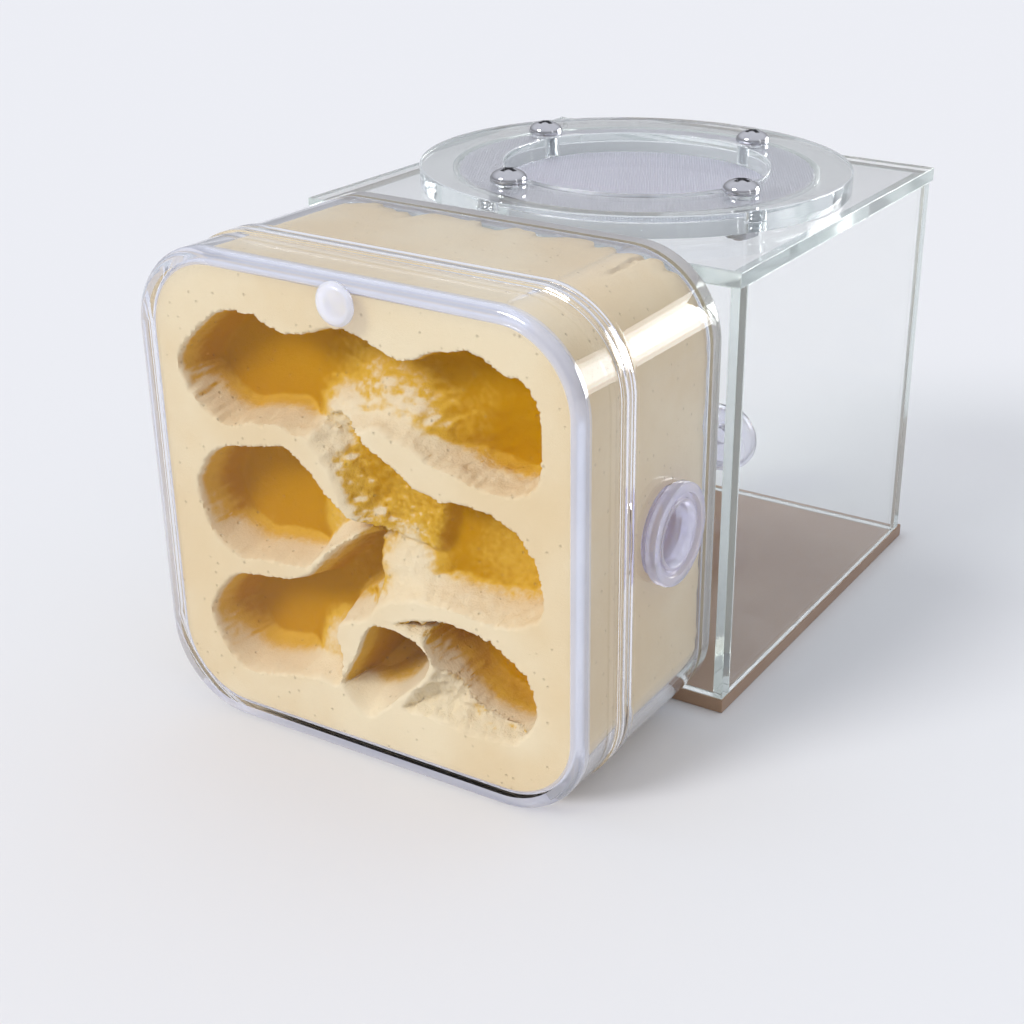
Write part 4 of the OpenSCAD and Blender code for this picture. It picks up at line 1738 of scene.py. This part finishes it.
    def sides(self, bm: bmesh.types.BMesh) -> None:
        """Adds the sides, the broken rear edge and the back.

        Args:
            bm: The block's mesh, in mm.
        """
        order = bm.verts.layers.int["order"]
        rim = sorted((v for v in bm.verts if v[order]), key=lambda v: v[order])
        middle = (self.low + self.high) / 2
        places = np.array([v.co for v in rim])
        towards = middle - places
        towards[:, 1] = 0
        towards /= np.linalg.norm(towards, axis=1)[:, None]
        top = ramp(places[:, 2], self.high[2] - 4, self.high[2] - 0.5)
        chips = np.maximum(cloud(places, 6.0, 31) + 0.6 * cloud(places, 2.2, 32) + 0.25, 0)
        broken = chips * (self.broken_sides + (self.broken_top - self.broken_sides) * top)
        previous = rim
        for k in range(1, self.rows + 1):
            share = k / self.rows
            row = places + towards * 0.06
            row[:, 1] = self.low[1] + share * (self.high[1] - self.low[1] - broken)
            worn = 0.10 * np.maximum(cloud(row, 9.0, 33), 0) + ramp(np.array(share), 0.9, 1) * 0.5
            wander = places[:, 0] - self.crack_place - 1.2 * cloud(row, 3.0, 34)
            crack = np.exp(-(wander / self.crack_width) ** 2) * top
            deep = crack * self.crack_depth * ramp(row[:, 1], *self.crack_span)
            row += towards * (worn + deep)[:, None]
            current = [bm.verts.new(point) for point in row]
            self.join(bm, previous, current)
            previous = current
        row = np.array([v.co for v in previous]) + towards * self.inset
        row[:, 1] = self.high[1]
        current = [bm.verts.new(point) for point in row]
        self.join(bm, previous, current)
        bm.faces.new(current[::-1])

    @staticmethod
    def join(bm: bmesh.types.BMesh, near: list, far: list) -> None:
        """Joins a ring of vertices to the next one behind it."""
        for i in range(len(near)):
            j = (i + 1) % len(near)
            bm.faces.new((near[i], far[i], far[j], near[j]))

    def age(self, mesh: bpy.types.Mesh) -> None:
        """Writes how ochre each vertex is: deep places more, as stain and painted shade, and the
        tops of ledges less, as painted light from above.

        Args:
            mesh: The block's finished mesh.
        """
        count = len(mesh.vertices)
        spots = np.empty(count * 3)
        mesh.vertices.foreach_get("co", spots)
        spots = spots.reshape(-1, 3) / MM
        normals = np.empty(count * 3)
        mesh.vertex_normals.foreach_get("vector", normals)
        up = normals.reshape(-1, 3)[:, 2]
        x, z = (spots[:, [0, 2]] - (self.box_middle, self.box_foot)).T
        depth = spots[:, 1] - self.low[1]
        # Upward-facing ledges are painted paler: painted light falling from above.
        ledge = ramp(up, 0.2, 0.7) * (1 - 0.6 * ramp(depth, 4.5, 10))
        # Deeper places are more ochre: partly real staining, partly painted shade.
        stain_and_shade = 0.6 * ramp(depth, 0.25, 2.0) + 0.5 * ramp(depth, 2.5, 8)
        # Adds the lighter and darker patches: painted light and shade, partly real staining.
        for px, pz, radius, amount in STAIN_AND_SHADE_PATCHES:
            stain_and_shade += amount * (1 - ramp(np.hypot(x - px, z - pz), radius * 0.2, radius))
        stain_and_shade = np.clip(stain_and_shade, 0, 1.1) * ramp(depth, 0.2, 1.2) * (1 - 0.9 * ledge)
        half = (self.high[0] - self.low[0]) / 2
        inside = self.inwards(spots) > self.clean_rim
        at_back = spots[:, 1] > self.high[1] - self.clean_back
        values = np.where(inside & ~at_back, stain_and_shade, 0.0)
        beside_recess = x > half - self.recess_depth - self.clean_rim
        values = np.where(beside_recess, np.minimum(values, 0.2), values)
        attribute = mesh.attributes.new("stain_and_shade", "FLOAT", "POINT")
        attribute.data.foreach_set("value", values.astype(np.float32))

    def inwards(self, spots: np.ndarray) -> np.ndarray:
        """Gives how far inside the block's rounded outline each point lies, in mm.

        Args:
            spots: The points, one per row, in mm.

        Returns:
            The distance to the outline, above 0 inside it.
        """
        low, high = np.array(self.low), np.array(self.high)
        reach = np.abs(spots - (low + high) / 2) - ((high - low) / 2 - self.corner)
        reach = reach[:, [0, 2]]
        outside = np.hypot(*np.maximum(reach, 0).T)
        return self.corner - outside - np.minimum(reach.max(axis=1), 0)

    def bores(self, piece: bpy.types.Object) -> None:
        """Cuts the link tunnel and the recess behind the side grommet.

        Args:
            piece: The block.
        """
        port, side = middle_of("link_tube"), middle_of("side_grommet")
        start, end = self.low[1] + self.tunnel_start, self.high[1] + 2
        floor, right = self.high[0] - self.recess_depth, self.high[0] + 2
        material = piece.data.materials[0]
        tunnel = turned("tunnel_tool", Axis.Y, (port[0], port[2]),
                        [(0.0, start), (self.tunnel_radius, start), (self.tunnel_radius, end),
                         (0.0, end)], material, 48)
        recess = turned("recess_tool", Axis.X, (side[1], side[2]),
                        [(0.0, floor), (self.recess_floor, floor),
                         (self.recess_radius, floor + 2.0), (self.recess_radius, right),
                         (0.0, right)], material, 48)
        cut(piece, (tunnel, recess))


# Studio -----------------------------------------------------------------------------------


@dataclass
class Studio:
    """Camera at the photograph's angle, pale floor and soft light."""

    focal: float = 1673.34
    frame_px: float = 1024.0
    sensor: float = 36.0
    principal: Pair = (644.4, 531.9)
    eye: Triple = (176.0, -316.3, 179.8)
    yaw: float = 28.56
    pitch: float = 25.3
    roll: float = 1.27
    floor_size: float = 12.0
    wall_height: float = 0.08
    wall_light: Triple = (0.36, 0.365, 0.39)
    ceiling_height: float = 0.70
    ceiling_light: Triple = (0.84, 0.86, 0.92)
    sun_from: Triple = (-0.45, -1.0, 0.78)
    sun_strength: float = 1.75
    sun_spread: float = 20.0
    rim_spot: Triple = (0.56, 0.75, 0.25)
    rim_step: float = 0.03
    rim_target: Triple = (0.04, -0.07, 0.09)
    rim_heights: Triple = (0.20, 0.32, 0.44)
    rim_radiance: float = 6.5
    side_spot: Triple = (0.80, -0.12, 0.30)
    side_target: Triple = (0.05, -0.05, 0.05)
    side_size: Pair = (0.12, 0.60)
    side_radiance: float = 0.8

    def build(self) -> None:
        """Builds the camera, floor and lights."""
        self.camera()
        self.floor()
        self.world()
        self.sun("key", self.sun_from, self.sun_strength, self.sun_spread)
        x, y, z = self.rim_spot
        for number, height in enumerate(self.rim_heights):
            self.gloss(f"rim_{number}", (x, y + self.rim_step * number, z), self.rim_target,
                       (0.2 + height, height), self.rim_radiance)
        self.gloss("side", self.side_spot, self.side_target, self.side_size, self.side_radiance)

    def camera(self) -> None:
        """Builds the camera."""
        yaw, pitch, roll = (math.radians(a) for a in (self.yaw, self.pitch, self.roll))
        back = Vector((math.sin(yaw) * math.cos(pitch), -math.cos(yaw) * math.cos(pitch),
                       math.sin(pitch)))
        level = Vector((0, 0, 1)).cross(back).normalized()
        rise = back.cross(level)
        right = level * math.cos(roll) + rise * math.sin(roll)
        up = rise * math.cos(roll) - level * math.sin(roll)
        data = bpy.data.cameras.new("camera")
        data.sensor_width = self.sensor
        data.lens = self.sensor * self.focal / self.frame_px
        data.shift_x = (self.frame_px / 2 - self.principal[0]) / self.frame_px
        data.shift_y = (self.principal[1] - self.frame_px / 2) / self.frame_px
        data.clip_start = 0.01
        data.clip_end = 50.0
        camera = shown("camera", data)
        turn = Matrix((right, up, back)).transposed().to_4x4()
        camera.matrix_world = Matrix.Translation(Vector(self.eye) * MM) @ turn
        bpy.context.scene.camera = camera

    def floor(self) -> None:
        """Builds the floor."""
        bm = bmesh.new()
        half = self.floor_size / 2 / MM
        bm.faces.new(ring(bm, Axis.Z, rectangle(-half, half, -half, half), -0.03))
        finished("floor", bm, (Floor().build(),))

    def world(self) -> None:
        """Builds the soft room: bright overhead and dimmer towards its walls."""
        world = bpy.data.worlds.new("studio")
        world.use_nodes = True
        bpy.context.scene.world = world
        tree = world.node_tree
        background = tree.nodes["Background"]
        place = tree.nodes.new("ShaderNodeTexCoord")
        split = tree.nodes.new("ShaderNodeSeparateXYZ")
        ramp_node = tree.nodes.new("ShaderNodeValToRGB")
        ramp_node.color_ramp.interpolation = "EASE"
        low, high = ramp_node.color_ramp.elements
        low.position, low.color = self.wall_height, (*self.wall_light, 1.0)
        high.position, high.color = self.ceiling_height, (*self.ceiling_light, 1.0)
        tree.links.new(place.outputs["Generated"], split.inputs[0])
        tree.links.new(split.outputs["Z"], ramp_node.inputs[0])
        tree.links.new(ramp_node.outputs[0], background.inputs["Color"])
        background.inputs["Strength"].default_value = 1.0

    def sun(self, name: str, spot: Triple, strength: float, spread: float) -> None:
        """Adds even light from one side of the room.

        Args:
            name: The light's name.
            spot: Direction towards it.
            strength: Its strength.
            spread: How wide it looks, in degrees.
        """
        data = bpy.data.lights.new(name, "SUN")
        data.energy = strength
        data.angle = math.radians(spread)
        lamp = shown(name, data)
        lamp.rotation_euler = Vector(spot).to_track_quat("Z", "Y").to_euler()

    def gloss(self, name: str, spot: Triple, target: Triple, size: Pair,
              radiance: float) -> None:
        """Adds a softbox that only shows in polished faces.

        Args:
            name: The light's name.
            spot: Where it stands.
            target: What it faces.
            size: Its width and height.
            radiance: How bright it looks, where 1 is white.
        """
        data = bpy.data.lights.new(name, "AREA")
        data.shape = "RECTANGLE"
        data.size, data.size_y = size
        data.energy = radiance * math.pi * size[0] * size[1]
        lamp = shown(name, data)
        lamp.location = spot
        lamp.rotation_euler = (Vector(target) - Vector(spot)).to_track_quat("-Z", "Y").to_euler()
        lamp.visible_camera = lamp.visible_diffuse = lamp.visible_transmission = False


def main() -> None:
    """Builds the studio and every piece of the habitat."""
    logging.basicConfig(level=logging.INFO, format="%(message)s")
    bpy.context.scene.view_settings.view_transform = "Standard"
    Studio().build()
    Arena().build()
    Lid().build()
    NestBox().build()
    GypsumBlock().build()


if __name__ == "__main__":
    main()
